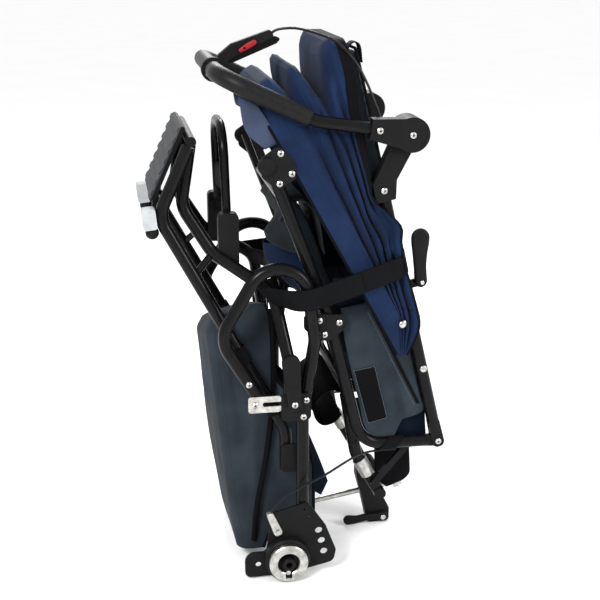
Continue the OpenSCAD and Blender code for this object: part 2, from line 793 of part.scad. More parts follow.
// A turned piece on the hub axis, its profile given as [radius, distance outwards]
module turned_on_hub(from, profile) {
  translate([hub[0], -from, hub[1]]) rotate([90, 0, 0]) rotate_extrude() polygon(profile);
}

// The brake drums with the bored boss that takes the wheel's axle
hub_from = plate_face + fit_gap;
module brake_hubs() color(plastic_black) both_sides() turned_on_hub(hub_from, [
  [axle_bore_d / 2, 0], [drum_d / 2 - drum_edge, 0], [drum_d / 2, drum_edge],
  [drum_d / 2, drum_w - 2 * drum_edge], [drum_d / 2 - 2 * drum_edge, drum_w],
  [boss_d / 2, drum_w], [boss_d / 2, boss_len - drum_edge], [boss_d / 2 - drum_edge, boss_len],
  [axle_bore_d / 2, boss_len]
]);

// The bright rings on the drums, each with a keyhole slot below its hole
module brake_rings() color(bright_metal) both_sides() difference() {
  from = hub_from + drum_w + fit_gap;
  turned_on_hub(from, [
    [ring_hole_d / 2, 0], [ring_d / 2, 0], [ring_d / 2, ring_t - drum_edge],
    [ring_d / 2 - drum_edge, ring_t], [ring_hole_d / 2 + drum_edge, ring_t],
    [ring_hole_d / 2, ring_t - drum_edge]
  ]);
  translate([hub[0] - keyhole_w / 2, -from - ring_t * 1.5, hub[1] - ring_hole_d / 2 - keyhole_deep])
    cube([keyhole_w, ring_t * 2, ring_hole_d / 2]);
}

// The bright arms that the cables pull to set the brakes
arm_from = plate_face + fit_gap;
module brake_arms() color(bright_metal) both_sides() difference() {
  union() {
    slab(-arm_from, arm_t) polygon(bar(arm_pivot, arm_tip, small_pin_d * 2.2, small_pin_d * 1.6));
    across(arm_tip, -arm_from - arm_t * 2, -arm_from, small_pin_d * 1.5);
  }
  across(arm_pivot, -arm_from - arm_t * 2, -arm_from + arm_t, small_pin_d + 2 * pin_play);
}

// A rear leg: one tube that runs up from the wheel plate and turns round into the side hoop
module rear_leg() color(tube_black) {
  bent_tube([at(leg_foot, -leg_half), for (p = hoop) at(p, -leg_half)], tube_d, bend_r);
  across(seat_pivot, -leg_half, -seat_face + fit_gap, pin_d);
}
module rear_leg_left() rear_leg();
module rear_leg_right() mirror([0, 1, 0]) rear_leg();

// The plates that tie hanger and leg together and carry the lock levers
lock_pivot_shares = [0.42, 0.68];
lock_low = leg_elbow + [-lock_w * 0.76, -lock_h / 4];
lock_pivot = lock_low + [lock_w * lock_pivot_shares[0], lock_h * lock_pivot_shares[1]];
module lock_brackets() color(plastic_black) both_sides() {
  slab(-leg_face, plate_t) polygon(rounded(
    [lock_low, lock_low + [lock_w, 0], lock_low + [lock_w, lock_h], lock_low + [0, lock_h]], corner_r));
  across(lock_pivot, -plate_face - lever_t, -plate_face + fit_gap, small_pin_d);
}

// The paddle levers of the lock, each on the pin of its bracket
lever_lean = 4.5;
lever_tip = lock_pivot + (lever_len - lever_w / 2) * aim(90 + lever_lean);
module lock_lever() color(plastic_black) difference() {
  slab(-plate_face - fit_gap, lever_t) polygon(bar(lock_pivot, lever_tip, lever_root_w, lever_w));
  across(lock_pivot, -plate_face - 2 * lever_t, -plate_face, small_pin_d + 2 * pin_play);
}
module lock_lever_left() lock_lever();
module lock_lever_right() mirror([0, 1, 0]) lock_lever();

// The bright slotted plates that close the hoops against the brackets
module hoop_links() color(bright_metal) both_sides() slab(-leg_face, link_t) difference() {
  right = lock_low[0] - fit_gap;
  low = lock_low[1] + (lock_h - link_h) * 0.9;
  slot_low = low + (link_h - slot_h) / 2;
  polygon(rounded(
    [[right - link_len, low], [right, low], [right, low + link_h], [right - link_len, low + link_h]],
    corner_r / 2));
  polygon(rounded(
    [
      [right - slot_len, slot_low], [right + slot_len, slot_low],
      [right + slot_len, slot_low + slot_h], [right - slot_len, slot_low + slot_h]
    ],
    slot_h * arc_room_share));
}

// A lower front rail, from its gusset on the rear leg up to the toe
module front_rail() color(tube_black) bent_tube(rail_path, tube_d, bend_r);
module front_rail_left() front_rail();
module front_rail_right() mirror([0, 1, 0]) front_rail();

// A front hanger, from the lock bracket up beside the seat and round to the toe
module front_hanger() color(tube_black) bent_tube(hanger_path, tube_d, bend_r);
module front_hanger_left() front_hanger();
module front_hanger_right() mirror([0, 1, 0]) front_hanger();

// The flat gussets between the rear ends of the rails and the legs
module rail_gussets() color(plastic_black) both_sides() {
  inner = rail_half + tube_r + fit_gap;
  low = rail_tail_end + [-tube_r, 0];
  high = [leg_foot[0] + tube_r, low[1] + gusset_h];
  slab(-inner, leg_half - tube_r - fit_gap - inner)
    polygon(rounded([low, [high[0], low[1]], high, [low[0], high[1]]], corner_r));
}

// The toe cross tube and the footplate's hinge tube
module front_crossbars() color(tube_black) {
  hinge_half = toe_half - tube_r - fit_gap;
  across(toe_bar, -toe_half - tube_r, toe_half + tube_r, cross_d);
  across(foot_pivot, -hinge_half, hinge_half, cross_d);
}

// The light-grey sockets that the caster stems plug into from below
module socket_block(grow) {
  up = left_of(stem_aim) * (socket_len / 2 + grow);
  inner = socket_mouth + stem_aim * socket_deep;
  slab(-toe_half + socket_w / 2 + grow, socket_w + 2 * grow)
    polygon(rounded([socket_mouth - up, inner - up, inner + up, socket_mouth + up], corner_r / 2));
}
module caster_sockets() color(light_grey) both_sides() difference() {
  socket_block(0);
  bent_tube(rail_path, tube_d + 2 * fit_gap, bend_r);
  rod(at(socket_mouth - stem_aim * fit_gap, -toe_half), at(socket_mouth + stem_aim * stem_deep, -toe_half),
      stem_bore_d);
}

// The round knobs that pull the plungers of the sockets, seated under them
module caster_knobs() color(plastic_black) both_sides() difference() {
  knob = socket_mouth + stem_aim * socket_deep / 2 + [knob_reach, -knob_drop];
  translate(at(knob, -toe_half)) sphere(d = knob_d);
  socket_block(fit_gap);
}

// The short struts between hangers and rails
strut_share = 0.27;
module rail_struts() color(tube_black) both_sides() difference() {
  high = hanger_path[3];
  low = rail_path[2] + (rail_path[1] - rail_path[2]) * strut_share;
  rod(low, high, strut_d);
  bent_tube(rail_path, tube_d + 2 * fit_gap, bend_r);
  bent_tube(hanger_path, tube_d + 2 * fit_gap, bend_r);
}

// The cloth basket under the seat, open towards the seat
basket_shares = [
  [0, 0.85], [0.41, 0.99], [0.55, 0.73], [0.87, 0.56], [0.99, 0.33], [0.99, 0.13],
  [0.7, 0.095], [0.55, 0.065], [0.5, 0], [0.28, 0.005]
];
inner_shares = [
  [0, 0.85], [0.41, 0.99], [2, 0.9], [2, 0.13], [0.7, 0.095], [0.55, 0.065], [0.5, 0], [0.28, 0.005]
];
basket_base = [-hub_setback - basket_deep * 0.668, drum_d * 0.3];
basket_len = calf_pivot[1] - block_deep - basket_gap - basket_base[1];
function shrunk(p, wall) =
  let (n = len(p))
  [for (i = [0:n - 1])
    p[i] + wall * (left_of(unit(p[(i + n - 1) % n] - p[i])) - left_of(unit(p[(i + 1) % n] - p[i])))];
module basket_width(less) {
  high = basket_base[1] + basket_len;
  rotate([90, 0, 90]) translate([0, 0, -basket_len]) linear_extrude(2 * basket_len) polygon([
    [-basket_rear_half + less, 0], [basket_rear_half - less, 0],
    [basket_front_half - less, high], [-basket_front_half + less, high]
  ]);
}
function basket_half(z) =
  basket_rear_half + (basket_front_half - basket_rear_half) * z / (basket_base[1] + basket_len);
module basket_body() difference() {
  intersection() {
    slab(basket_rear_half, 2 * basket_rear_half)
      polygon(place(basket_shares, basket_deep, basket_len, basket_base));
    basket_width(0);
  }
  intersection() {
    slab(basket_rear_half, 2 * basket_rear_half)
      polygon(shrunk(place(inner_shares, basket_deep, basket_len, basket_base), basket_wall));
    basket_width(basket_wall);
  }
}

// One cloth loop that hangs the basket on a front rail, at this share of the basket's length
loop_shares = [0.62, 0.82];
module basket_loop(share) {
  slope = rail_path[2] - rail_path[1];
  along = unit(slope);
  mid = rail_path[1] + slope * (basket_base[1] + basket_len * share - rail_corner[1]) / rail_rise;
  reach = -mid[1] - basket_half(mid[2]) + basket_wall / 2;
  flat = unit(cross(along, [0, 1, 0]));
  rod(mid - along * loop_len / 2, mid + along * loop_len / 2, tube_d + 2 * fit_gap + 2 * basket_wall);
  set_on(unit(cross([0, 1, 0], flat)), [0, 1, 0], flat, mid)
    translate([-loop_len / 2, 0, -basket_wall / 2]) cube([loop_len, reach, basket_wall]);
}
module basket() color(cloth_grey) {
  basket_body();
  both_sides() difference() {
    for (share = loop_shares) basket_loop(share);
    bent_tube(rail_path, tube_d + 2 * fit_gap, bend_r);
  }
}

// Bright screws of the chassis
link_screw = [lock_low[0] - link_len * 0.8, lock_low[1] + (lock_h - link_h) * 0.9 + link_h / 2];
bracket_screws = [lock_low + [lock_w * 0.84, lock_h * 0.75], lock_low + [lock_w * 0.74, lock_h * 0.13]];
module frame_screws() color(bright_metal) both_sides() {
  for (p = bracket_screws) screw(p, -plate_face - fit_gap);
  screw(link_screw, -leg_face - link_t - fit_gap);
  screw(toward(hoop_end, hoop[len(hoop) - 2], link_h), -leg_face);
  screw(lock_pivot, -plate_face - fit_gap - lever_t - fit_gap);
  translate([hub[0], -hub_from - drum_w - fit_gap, hub[1] - ring_hole_d / 2 - keyhole_deep / 4])
    rotate([90, 0, 0]) cylinder(h = head_h, d = keyhole_w * 0.75);
  across(arm_pivot, -arm_from - arm_t - head_h, -plate_face - fit_gap, small_pin_d);
}

// Footrest

// Footplate places: along the plate and off it, from its hinge
foot_aim = toe_aim;
function foot_at(along, off) = foot_pivot + foot_aim * along + left_of(foot_aim) * off;

// The frame of the footplate, on two lugs around the hinge tube
module footplate_frame() color(plastic_black) difference() {
  lug_d = cross_d + 2 * eye_wall;
  union() {
    slab(foot_half, 2 * foot_half) polygon(rounded(
      [
        foot_at(foot_heel, foot_off), foot_at(foot_heel + foot_len, foot_off),
        foot_at(foot_heel + foot_len, foot_off + foot_t), foot_at(foot_heel, foot_off + foot_t)
      ],
      foot_t / 4));
    for (s = [-1, 1]) {
      slab(s * lug_half + lug_w / 2, lug_w) {
        translate(foot_pivot) circle(d = lug_d);
        polygon([
          foot_at(-lug_d * 0.3, lug_d * 0.4), foot_at(0, 0), foot_at(lug_d * 0.4, lug_d * 0.3),
          foot_at(foot_heel + lug_d, foot_off + foot_t / 2), foot_at(foot_heel, foot_off + foot_t / 2)
        ]);
      }
    }
  }
  across(foot_pivot, -foot_half, foot_half, cross_d + 2 * pin_play);
}

// The grey tread on the frame, with ribs across it
rib_count = 7;
rib_share = 0.35;
module footplate_tread() color(tread_grey) {
  off = foot_off + foot_t + fit_gap;
  slab(foot_half, 2 * foot_half) polygon([
    foot_at(foot_heel, off), foot_at(foot_heel + foot_len, off),
    for (i = [rib_count:-1:1])
      let (from = foot_heel + foot_len * (i - 1) / rib_count, rib = foot_len / rib_count * rib_share)
      each [
        foot_at(from + 2 * rib, off + tread_t), foot_at(from + rib, off + tread_t),
        foot_at(from + rib, off + tread_t / 2), foot_at(from, off + tread_t / 2)
      ]
  ]);
}

// Calf bar

// The joint blocks on the hangers, each with the pin that the calf bar turns on
module calf_blocks() color(plastic_black) both_sides() {
  difference() {
    slab(-block_face, block_t) polygon(rounded(
      [
        calf_pivot + [-block_w / 2, -block_deep], calf_pivot + [block_w / 2, -block_deep],
        calf_pivot + [block_w / 2, block_top], calf_pivot + [-block_w / 2, block_top]
      ],
      corner_r));
    bent_tube(hanger_path, tube_d + 2 * fit_gap, bend_r);
  }
  across(calf_pivot, -block_face - fit_gap, -block_face + eye_w + 2 * fit_gap, pin_d);
}

// The U-shaped calf bar with an eye on each end
eye_d = pin_d * 2.8;
module calf_bar() color(tube_black) difference() {
  foot = calf_pivot + [0, pin_d * 0.9];
  union() {
    bent_tube(
      [at(foot, -calf_half), at(calf_top, -calf_half), at(calf_top, calf_half), at(foot, calf_half)],
      calf_d, bend_r);
    both_sides() across(calf_pivot, -calf_half - eye_w / 2, -calf_half + eye_w / 2, eye_d);
  }
  across(calf_pivot, -2 * calf_half, 2 * calf_half, pin_d + 2 * pin_play);
}

// The soft band between the legs of the calf bar
module calf_band() color(cloth_black) {
  lean = unit(calf_top - calf_pivot);
  low = calf_pivot + lean * band_rise;
  half = calf_half - calf_d / 2 - soft_gap;
  slab(half, 2 * half) polygon([
    low + left_of(lean) * band_t / 2, low - left_of(lean) * band_t / 2,
    low + lean * band_h - left_of(lean) * band_t / 2, low + lean * band_h + left_of(lean) * band_t / 2
  ]);
}

// Seat

// A seat rail, bent at the pivot bracket and again at the rear, with the eye of the back hinge
module seat_rail() color(tube_black) difference() {
  neck = back_hinge - [hinge_neck, 0];
  union() {
    bent_tube(
      [for (p = [seat_front, seat_knuckle, seat_corner, neck]) at(p, -seat_half)],
      tube_d, bend_r);
    slab(-seat_half + hinge_eye_t / 2, hinge_eye_t)
      polygon(bar(back_hinge - [2 * hinge_neck, 0], back_hinge, tube_d * 0.8, pin_d * 2.6));
  }
  across(back_hinge, -seat_half - tube_d, -seat_half + tube_d, pin_d + 2 * pin_play);
}
module seat_rail_left() seat_rail();
module seat_rail_right() mirror([0, 1, 0]) seat_rail();

// The stays from the rear cross tube down to the tilt cross tube, each with a flat brace to its rail
module seat_stays() color(tube_black) both_sides() {
  outer = stay_half + tube_r + fit_gap;
  bent_tube(
    [
      at(toward(rear_cross, stay_knee, cross_d / 2 + fit_gap), -stay_half), at(stay_knee, -stay_half),
      at(toward(tilt_bar, stay_knee, tube_r + fit_gap), -stay_half)
    ],
    tube_d, bend_r);
  slab(-outer, seat_half - tube_r - fit_gap - outer)
    polygon(bar(
      toward(tilt_bar, stay_knee, brace_start), seat_corner + [hinge_reach * 0.72, 0], brace_w, brace_w));
}

// The cross tubes of the seat, the lowest of them carrying the tilt clamp
module seat_crossbars() color(tube_black) {
  half = seat_half - tube_r - fit_gap;
  across(front_cross, -half, half, cross_d);
  across(rear_cross, -half, half, cross_d);
  across(tilt_bar, -tilt_bar_half, tilt_bar_half, tube_d);
}

// The brackets that hang the seat rails on the pins of the rear legs
bracket_shares = [[-0.38, 0.42], [1.75, 0.26], [1.85, -0.4], [0.9, -1.15], [0.2, -0.9], [-0.38, -0.4]];
seat_screw_shares = [[0.42, 0.02], [1.45, -0.13], [0.68, -0.74]];
module seat_brackets() color(plastic_black) both_sides() slab(-seat_face, plate_t) difference() {
  polygon(rounded(place(bracket_shares, seat_pivot_reach, seat_pivot_reach, seat_pivot), corner_r));
  translate(seat_pivot) circle(d = pin_d + 2 * pin_play);
}

// The knee plates at the front ends of the rails, with their round caps
knee_shares = [[-0.24, 0.06], [0.28, 0.35], [0.73, -0.06], [0.77, -0.38], [0.23, -0.64], [-0.21, -0.35]];
knee_cap_shares = [-0.09, -0.1];
knee_screw_shares = [[0.31, 0.17], [0.62, -0.28], [0.28, -0.49]];
module knee_plates() color(plastic_black) both_sides() {
  slab(-seat_face, plate_t) polygon(rounded(place(knee_shares, knee_w, knee_h, seat_front), corner_r));
  cap = place([knee_cap_shares], knee_w, knee_h, seat_front)[0];
  across(cap, -seat_face - plate_t - cap_t, -seat_face - plate_t / 2, cap_d);
}

// The flat post in front of the seat that takes a pommel
module pommel_post() color(plastic_black) {
  foot = front_cross + seat_aim * (cross_d / 2 + fit_gap);
  slab(-post_off + post_w / 2, post_w) polygon([
    foot + left_of(seat_aim) * post_t / 2, foot - left_of(seat_aim) * post_t / 2,
    foot + seat_aim * post_len - left_of(seat_aim) * post_t / 2,
    foot + seat_aim * post_len + left_of(seat_aim) * post_t / 2
  ]);
}

// The seat cushion between the rails, its crowned front towards the back cushion
module seat_cushion() color(cloth_grey) {
  from = front_cross - seat_aim * (cross_d / 2 + soft_gap + seat_pad_len);
  back = at(-left_of(seat_aim), 0);
  set_on(-back, [0, -1, 0], at(seat_aim, 0), at(from, 0))
    cushion(seat_pad_len, pad_half, seat_pad_t, seat_crown, 2);
}

// The cloth panels that close the sides between seat and back
module side_panels() color(cloth_grey) both_sides() {
  rail_aim = unit(seat_corner - seat_knuckle);
  off = -left_of(rail_aim) * (tube_r + soft_gap);
  low = seat_corner[1] + tube_r + soft_gap;
  top = seat_pivot_h + panel_rise;
  right_low = back_hinge + back_aim * (2 * hinge_neck) + left_of(back_aim) * (tube_r + soft_gap);
  right_top = at_height(right_low, right_low + back_aim * back_len, top);
  left_low = at_height(seat_knuckle - off, seat_corner - off, low + bend_r);
  left_top = at_height(seat_knuckle - off, seat_corner - off, top);
  slab(-seat_half + panel_t / 2, panel_t)
    polygon([
      left_top, left_low, [left_low[0] + bend_r * 0.9, low], [right_low[0], low], right_low, right_top
    ]);
}

// Bright screws of the seat, and the sleeves on its stays
module seat_screws() color(bright_metal) both_sides() {
  from = -seat_face - plate_t - fit_gap;
  low = at(toward(tilt_bar, stay_knee, brace_start * 1.5), -stay_half);
  high = at(toward(tilt_bar, stay_knee, brace_start * 1.5 + sleeve_len), -stay_half);
  difference() {
    rod(low, high, tube_d + 2 * fit_gap + 2 * sleeve_wall);
    rod(low * 2 - high, high * 2 - low, tube_d + 2 * fit_gap);
  }
  for (p = place(seat_screw_shares, seat_pivot_reach, seat_pivot_reach, seat_pivot)) screw(p, from);
  for (p = place(knee_screw_shares, knee_w, knee_h, seat_front)) screw(p, from);
}

// The clamp that turns on the tilt cross tube and slides along the tilt rod
module tilt_clamp() color(plastic_black) {
  half = tube_r + clamp_wall;
  difference() {
    slab(clamp_w / 2, clamp_w) polygon(rounded(
      [
        tilt_bar + [-half, half], tilt_bar + [half, half], rod_clamp + [half, 0],
        [qr_pivot[0] + jaw_half, qr_pivot[1] + jaw_half], [qr_pivot[0] + jaw_half, 0],
        [qr_pivot[0] - 2 * jaw_half, 0], rod_clamp + [-half * 0.9, -rod_d], tilt_bar + [-half, -half]
      ],
      [half * 0.9, half * 0.9, corner_r, corner_r, corner_r, corner_r, corner_r, corner_r]));
    across(tilt_bar, -clamp_w, clamp_w, tube_d + 2 * pin_play);
    rod(at(rod_clamp - rod_aim * 3 * half, 0), at(rod_clamp + rod_aim * 3 * half, 0), rod_d + 2 * rod_play);
  }
  across(qr_pivot, -clamp_w / 2 - qr_t - 2 * fit_gap, -clamp_w / 4, pin_d);
}

// The quick-release lever on the pin of the clamp
qr_shares = [
  [0.13, 0.62], [0.13, -0.62], [-0.22, -0.5], [-0.67, -0.85], [-0.98, -0.62], [-0.98, 0.5],
  [-0.6, 0.2], [-0.2, 0.5]
];
module qr_lever() color(plastic_black) slab(-clamp_w / 2 - fit_gap, qr_t) difference() {
  polygon(rounded(place(qr_shares, qr_len, jaw_half, qr_pivot), corner_r * 0.8));
  translate(qr_pivot) circle(d = pin_d + 2 * pin_play);
}

// The bright tilt rod with its eye on the axle beam and a stop at its end
module tilt_rod() color(bright_metal) difference() {
  tip = rod_pivot + rod_aim * rod_len;
  stop_d = rod_d * 2;
  union() {
    rod(at(rod_pivot, 0), at(tip, 0), rod_d);
    across(rod_pivot, -rod_eye_half, rod_eye_half, pin_d * 2.4);
    rod(at(tip - rod_aim * rod_d / 2, 0), at(tip + rod_aim * rod_d / 3, 0), stop_d);
    rod(at(tip, 0), at(tip + rod_aim * rod_d, 0), rod_d * 1.4);
  }
  across(rod_pivot, -2 * rod_eye_half, 2 * rod_eye_half, pin_d + 2 * pin_play);
}

// Back

// A back tube with the fork of its hinge and the lug of the hood pivot
fork_gap = hinge_eye_t / 2 + fit_gap;
module back_tube() {
  start = back_hinge + back_aim * hinge_neck;
  difference() {
    union() {
      rod(at(start, -seat_half), at(back_end, -seat_half), tube_d);
      for (y = [-seat_half + fork_gap + fork_t, -seat_half - fork_gap])
        slab(y, fork_t) polygon(bar(back_hinge, start + back_aim * hinge_neck, pin_d * 2.6, tube_d * 0.9));
    }
    across(back_hinge, -seat_half - tube_d, -seat_half + tube_d, pin_d + 2 * pin_play);
  }
  hood_root = back_hinge + back_aim * hood_up;
  slab(-seat_half - tube_r + hood_lug_t / 2, hood_lug_t)
    polygon(bar(hood_root, hood_pivot, small_pin_d * 2.5, small_pin_d * 2.5));
  across(hood_pivot, -front_bow_half - bow_eye_t, -seat_half - tube_r, small_pin_d);
}

// The left tube also carries the recline lever's lug and pin
recline_in = recline_t / 2;
module back_tube_left() color(tube_black) {
  root = back_hinge + back_aim * recline_up;
  pin_out = recline_in + fit_gap;
  back_tube();
  slab(-seat_half + pin_out + plate_t, plate_t)
    polygon(bar(root, recline_pivot, tube_d * 0.7, small_pin_d * 2.2));
  across(recline_pivot, -seat_half - pin_out, -seat_half + pin_out + plate_t / 2, small_pin_d);
}
module back_tube_right() color(tube_black) mirror([0, 1, 0]) back_tube();

// The recline paddle behind the left back tube
module recline_lever() color(plastic_black) slab(-seat_half + recline_in, recline_t) difference() {
  tip = recline_pivot + back_aim * (recline_len - recline_w / 2) - left_of(back_aim) * recline_w * 0.65;
  polygon(bar(recline_pivot, tip, small_pin_d * 2.4, recline_w));
  translate(recline_pivot) circle(d = small_pin_d + 2 * pin_play);
}

// The back cushion, held between the handle sockets on the back tubes
module back_cushion() color(cloth_grey) {
  low = back_hinge + back_aim * (2 * hinge_neck + back_pad_t / 2);
  from = low - left_of(back_aim) * (tube_r - soft_gap * 2);
  set_on(at(-left_of(back_aim), 0), [0, 1, 0], at(back_aim, 0), at(from, 0))
    cushion(back_pad_len, seat_half - housing_t / 2 - fit_gap, back_pad_t, back_crown, 4);
}

// The lower housings of the handle hinge, sleeved on the back tubes, each with the hinge pin
module handle_sockets() color(plastic_black) both_sides() {
  foot = back_end - back_aim * housing_grip;
  difference() {
    slab(-seat_half + housing_t / 2, housing_t) {
      translate(handle_hinge) circle(d = disc_d);
      polygon(concat(
        [foot + left_of(back_aim) * housing_w / 2, back_end + left_of(back_aim) * housing_w / 2,
         handle_hinge + left_of(back_aim) * disc_d * 0.4, handle_hinge - left_of(back_aim) * disc_d * 0.46],
        [back_end - left_of(back_aim) * housing_w * 0.75, foot - left_of(back_aim) * housing_w / 2]));
    }
    rod(at(foot - back_aim * housing_grip, -seat_half), at(back_end + back_aim * fit_gap, -seat_half),
        tube_d + 2 * fit_gap);
  }
  across(handle_hinge, -yoke_face - housing_t - fit_gap, -socket_face + housing_t / 3, hinge_pin_d);
}

// Bolts of the back hinges, buttons of the hood pivots and screws of the housings
module back_bolts() color(bright_metal) both_sides() {
  bolt_half = fork_gap + fork_t + fit_gap;
  across(back_hinge, -seat_half - bolt_half, -seat_half + bolt_half, pin_d);
  screw(back_hinge, -seat_half - bolt_half);
  screw(hood_pivot, -front_bow_half - bow_eye_t - fit_gap);
  screw(back_end - back_aim * housing_grip * 0.4, -socket_face - fit_gap);
}

// Hood

// One hood bow: an eye at each pivot and a round arch between them
module hood_bow(angle, half) difference() {
  top = hood_pivot + aim(angle) * bow_len;
  union() {
    bent_tube(
      [at(hood_pivot, -half), at(top, -hood_top_half), at(top, hood_top_half), at(hood_pivot, half)],
      bow_d, bend_r);
    both_sides() across(hood_pivot, -half - bow_eye_t / 2, -half + bow_eye_t / 2, small_pin_d * 2);
  }
  across(hood_pivot, -2 * half, 2 * half, small_pin_d + 2 * pin_play);
}
module hood_bow_mid() color(tube_black) hood_bow(mid_bow_angle, mid_bow_half);
module hood_bow_front() color(tube_black) hood_bow(front_bow_angle, front_bow_half);

// A folded fan of hood cloth between two angles: two cheeks and a top, clear of the bows on each side
fan_in_shares = [0.24, 0.99];
module hood_fan(a, b, clear_a, clear_b) {
  r0 = bow_len * fan_in_shares[0];
  r1 = bow_len * 1.02;
  mid = (a + b) / 2;
  function edge(angle, r, off) = hood_pivot + aim(angle) * r + left_of(aim(angle)) * off;
  function half_at(r) = mid_bow_half + (hood_top_half + bow_d / 2 - mid_bow_half) * r / r1;
  intersection() {
    slab(mid_bow_half, 2 * mid_bow_half)
      polygon([edge(a, r0, -clear_a), edge(a, r1, -clear_a), edge(b, r1, clear_b), edge(b, r0, clear_b)]);
    set_on(at(aim(mid), 0), [0, 1, 0], cross(at(aim(mid), 0), [0, 1, 0]), at(hood_pivot, 0))
      linear_extrude(bow_len / 2, center = true) polygon([
        [r0 / 2, -half_at(r0 / 2)], [r1, -half_at(r1)], [r1, half_at(r1)], [r0 / 2, half_at(r0 / 2)],
        [r0 / 2, half_at(r0 / 2) - cheek_t], [r1 - cheek_t, half_at(r1) - cheek_t],
        [r1 - cheek_t, -half_at(r1) + cheek_t], [r0 / 2, -half_at(r0 / 2) + cheek_t]
      ]);
  }
}
bow_clear = bow_d / 2 + soft_gap;
module hood_rear_panel() color(cloth_navy) hood_fan(mid_bow_angle, hood_rear_angle, bow_clear, 0);
module hood_front_panel() color(cloth_navy) {
  hood_fan(front_bow_angle, mid_bow_angle, bow_clear, bow_clear);
  hood_fan(valance_angle, front_bow_angle, 0, bow_clear);
}

// Handle

// The upper housings of the handle hinge, which hold the arms of the handlebar
module handle_yokes() color(plastic_black) both_sides() difference() {
  slab(-yoke_face, housing_t) {
    translate(handle_hinge) circle(d = disc_d);
    arm_aim = unit(arm_bend - handle_hinge);
    tip = arm_start + arm_aim * housing_grip * 0.75;
    polygon([
      handle_hinge + left_of(arm_aim) * disc_d * 0.46, tip + left_of(arm_aim) * housing_w / 2,
      tip - left_of(arm_aim) * housing_w / 2, handle_hinge - left_of(arm_aim) * disc_d * 0.46
    ]);
  }
  across(handle_hinge, -yoke_face - 2 * housing_t, -yoke_face + fit_gap, hinge_pin_d + 2 * pin_play);
  rod(toward(bar_path[0], bar_path[1], -fit_gap), bar_path[1], handle_d + 2 * fit_gap);
}

// The U-shaped handlebar
module handlebar() color(tube_black) bent_tube(bar_path, handle_d, bend_r);

// The foam grip over the cross bar and both corners
module handle_grip() color(plastic_black) difference() {
  bent_tube(grip_path, grip_d, bend_r);
  bent_tube(bar_path, handle_d + 2 * fit_gap, bend_r);
}

// The brake perch: a ring on the grip, the arm that ends in the cable stop, and two stub pins
perch_shares = [[0.06, 0.38], [0.3, 0.72], [0.93, 1.1], [1, 0.9], [0.4, 0.42], [0.17, 0.16]];
perch_from = -perch_off;
module brake_perch() color(plastic_black) difference() {
  union() {
    across(bar_mid, perch_from - perch_w, perch_from, grip_d + 2 * perch_wall);
    slab(perch_from, perch_w)
      polygon(rounded(place(perch_shares, perch_reach, perch_rise, bar_mid), corner_r / 2));
    across(blade_pivot, perch_from - perch_w / 2, perch_from + blade_t + 2 * fit_gap, small_pin_d);
    across(tab_pivot, perch_from - perch_w - tab_t - 2 * fit_gap, perch_from - perch_w / 2, tab_pin_d);
  }
  across(bar_mid, perch_from - 2 * perch_w, perch_from + perch_w, grip_d + 2 * fit_gap);
}

// The brake lever beside the perch
blade_shares = [
  [-0.08, 0.12], [0.06, 0.18], [0.77, 0.5], [0.88, 0.44], [0.8, 0.32], [0.07, -0.12], [-0.06, -0.1]
];
module brake_lever() color(plastic_black) slab(perch_from + blade_t + fit_gap, blade_t) difference() {
  polygon(rounded(place(blade_shares, perch_reach, perch_rise * 1.2, blade_pivot), corner_r / 2));
  translate(blade_pivot) circle(d = small_pin_d + 2 * pin_play);
}

// The red tab that locks the brake lever
tab_shares = [[-0.1, 0.1], [0.12, 0.3], [0.22, 0.2], [0.02, -0.12], [-0.1, -0.1]];
module parking_tab() color(brake_red) slab(perch_from - perch_w - fit_gap, tab_t) difference() {
  polygon(rounded(place(tab_shares, perch_reach, perch_rise, tab_pivot), corner_r / 2));
  translate(tab_pivot) circle(d = tab_pin_d + 2 * pin_play);
}

// Bright screws of the handle hinge and of the arms
module handle_bolts() color(bright_metal) both_sides() {
  screw(handle_hinge, -yoke_face - housing_t - 3 * fit_gap);
  screw(toward(arm_start, arm_bend, housing_grip * 0.3), -yoke_face - housing_t - fit_gap);
}

// Cables and strap

// A route between two points, by hand-chosen shares of the way in x, y and z
function route(a, b, shares) =
  [for (s = shares) [a[0] + (b[0] - a[0]) * s[0], a[1] + (b[1] - a[1]) * s[1], a[2] + (b[2] - a[2]) * s[2]]];
cable_steps = 3;
cable_sides = 8;
module cable(p) swept_line(smooth(p, cable_steps), cable_d, cable_sides);

// The brake cables from the arms to the undersides of the seat rails
hub_cable_aim = aim(60);
hub_cable_from = at(arm_tip + hub_cable_aim * (small_pin_d * 0.85 + fit_gap), -arm_from - arm_t);
hub_cable_to = at(seat_corner + [hinge_reach * 0.46, -tube_r - cable_d / 2 - 2 * fit_gap], -seat_half);
hub_cable_shares = [
  [0, 0, 0], [0.025, -0.02, 0.13], [0.1, -0.05, 0.35], [0.22, -0.06, 0.55], [0.4, 0.08, 0.74],
  [0.56, 0.45, 0.88], [0.7, 0.82, 0.965], [0.84, 0.98, 0.995], [1, 1, 1]
];
module hub_cables() color(cloth_black) both_sides()
  cable(route(hub_cable_from, hub_cable_to, hub_cable_shares));

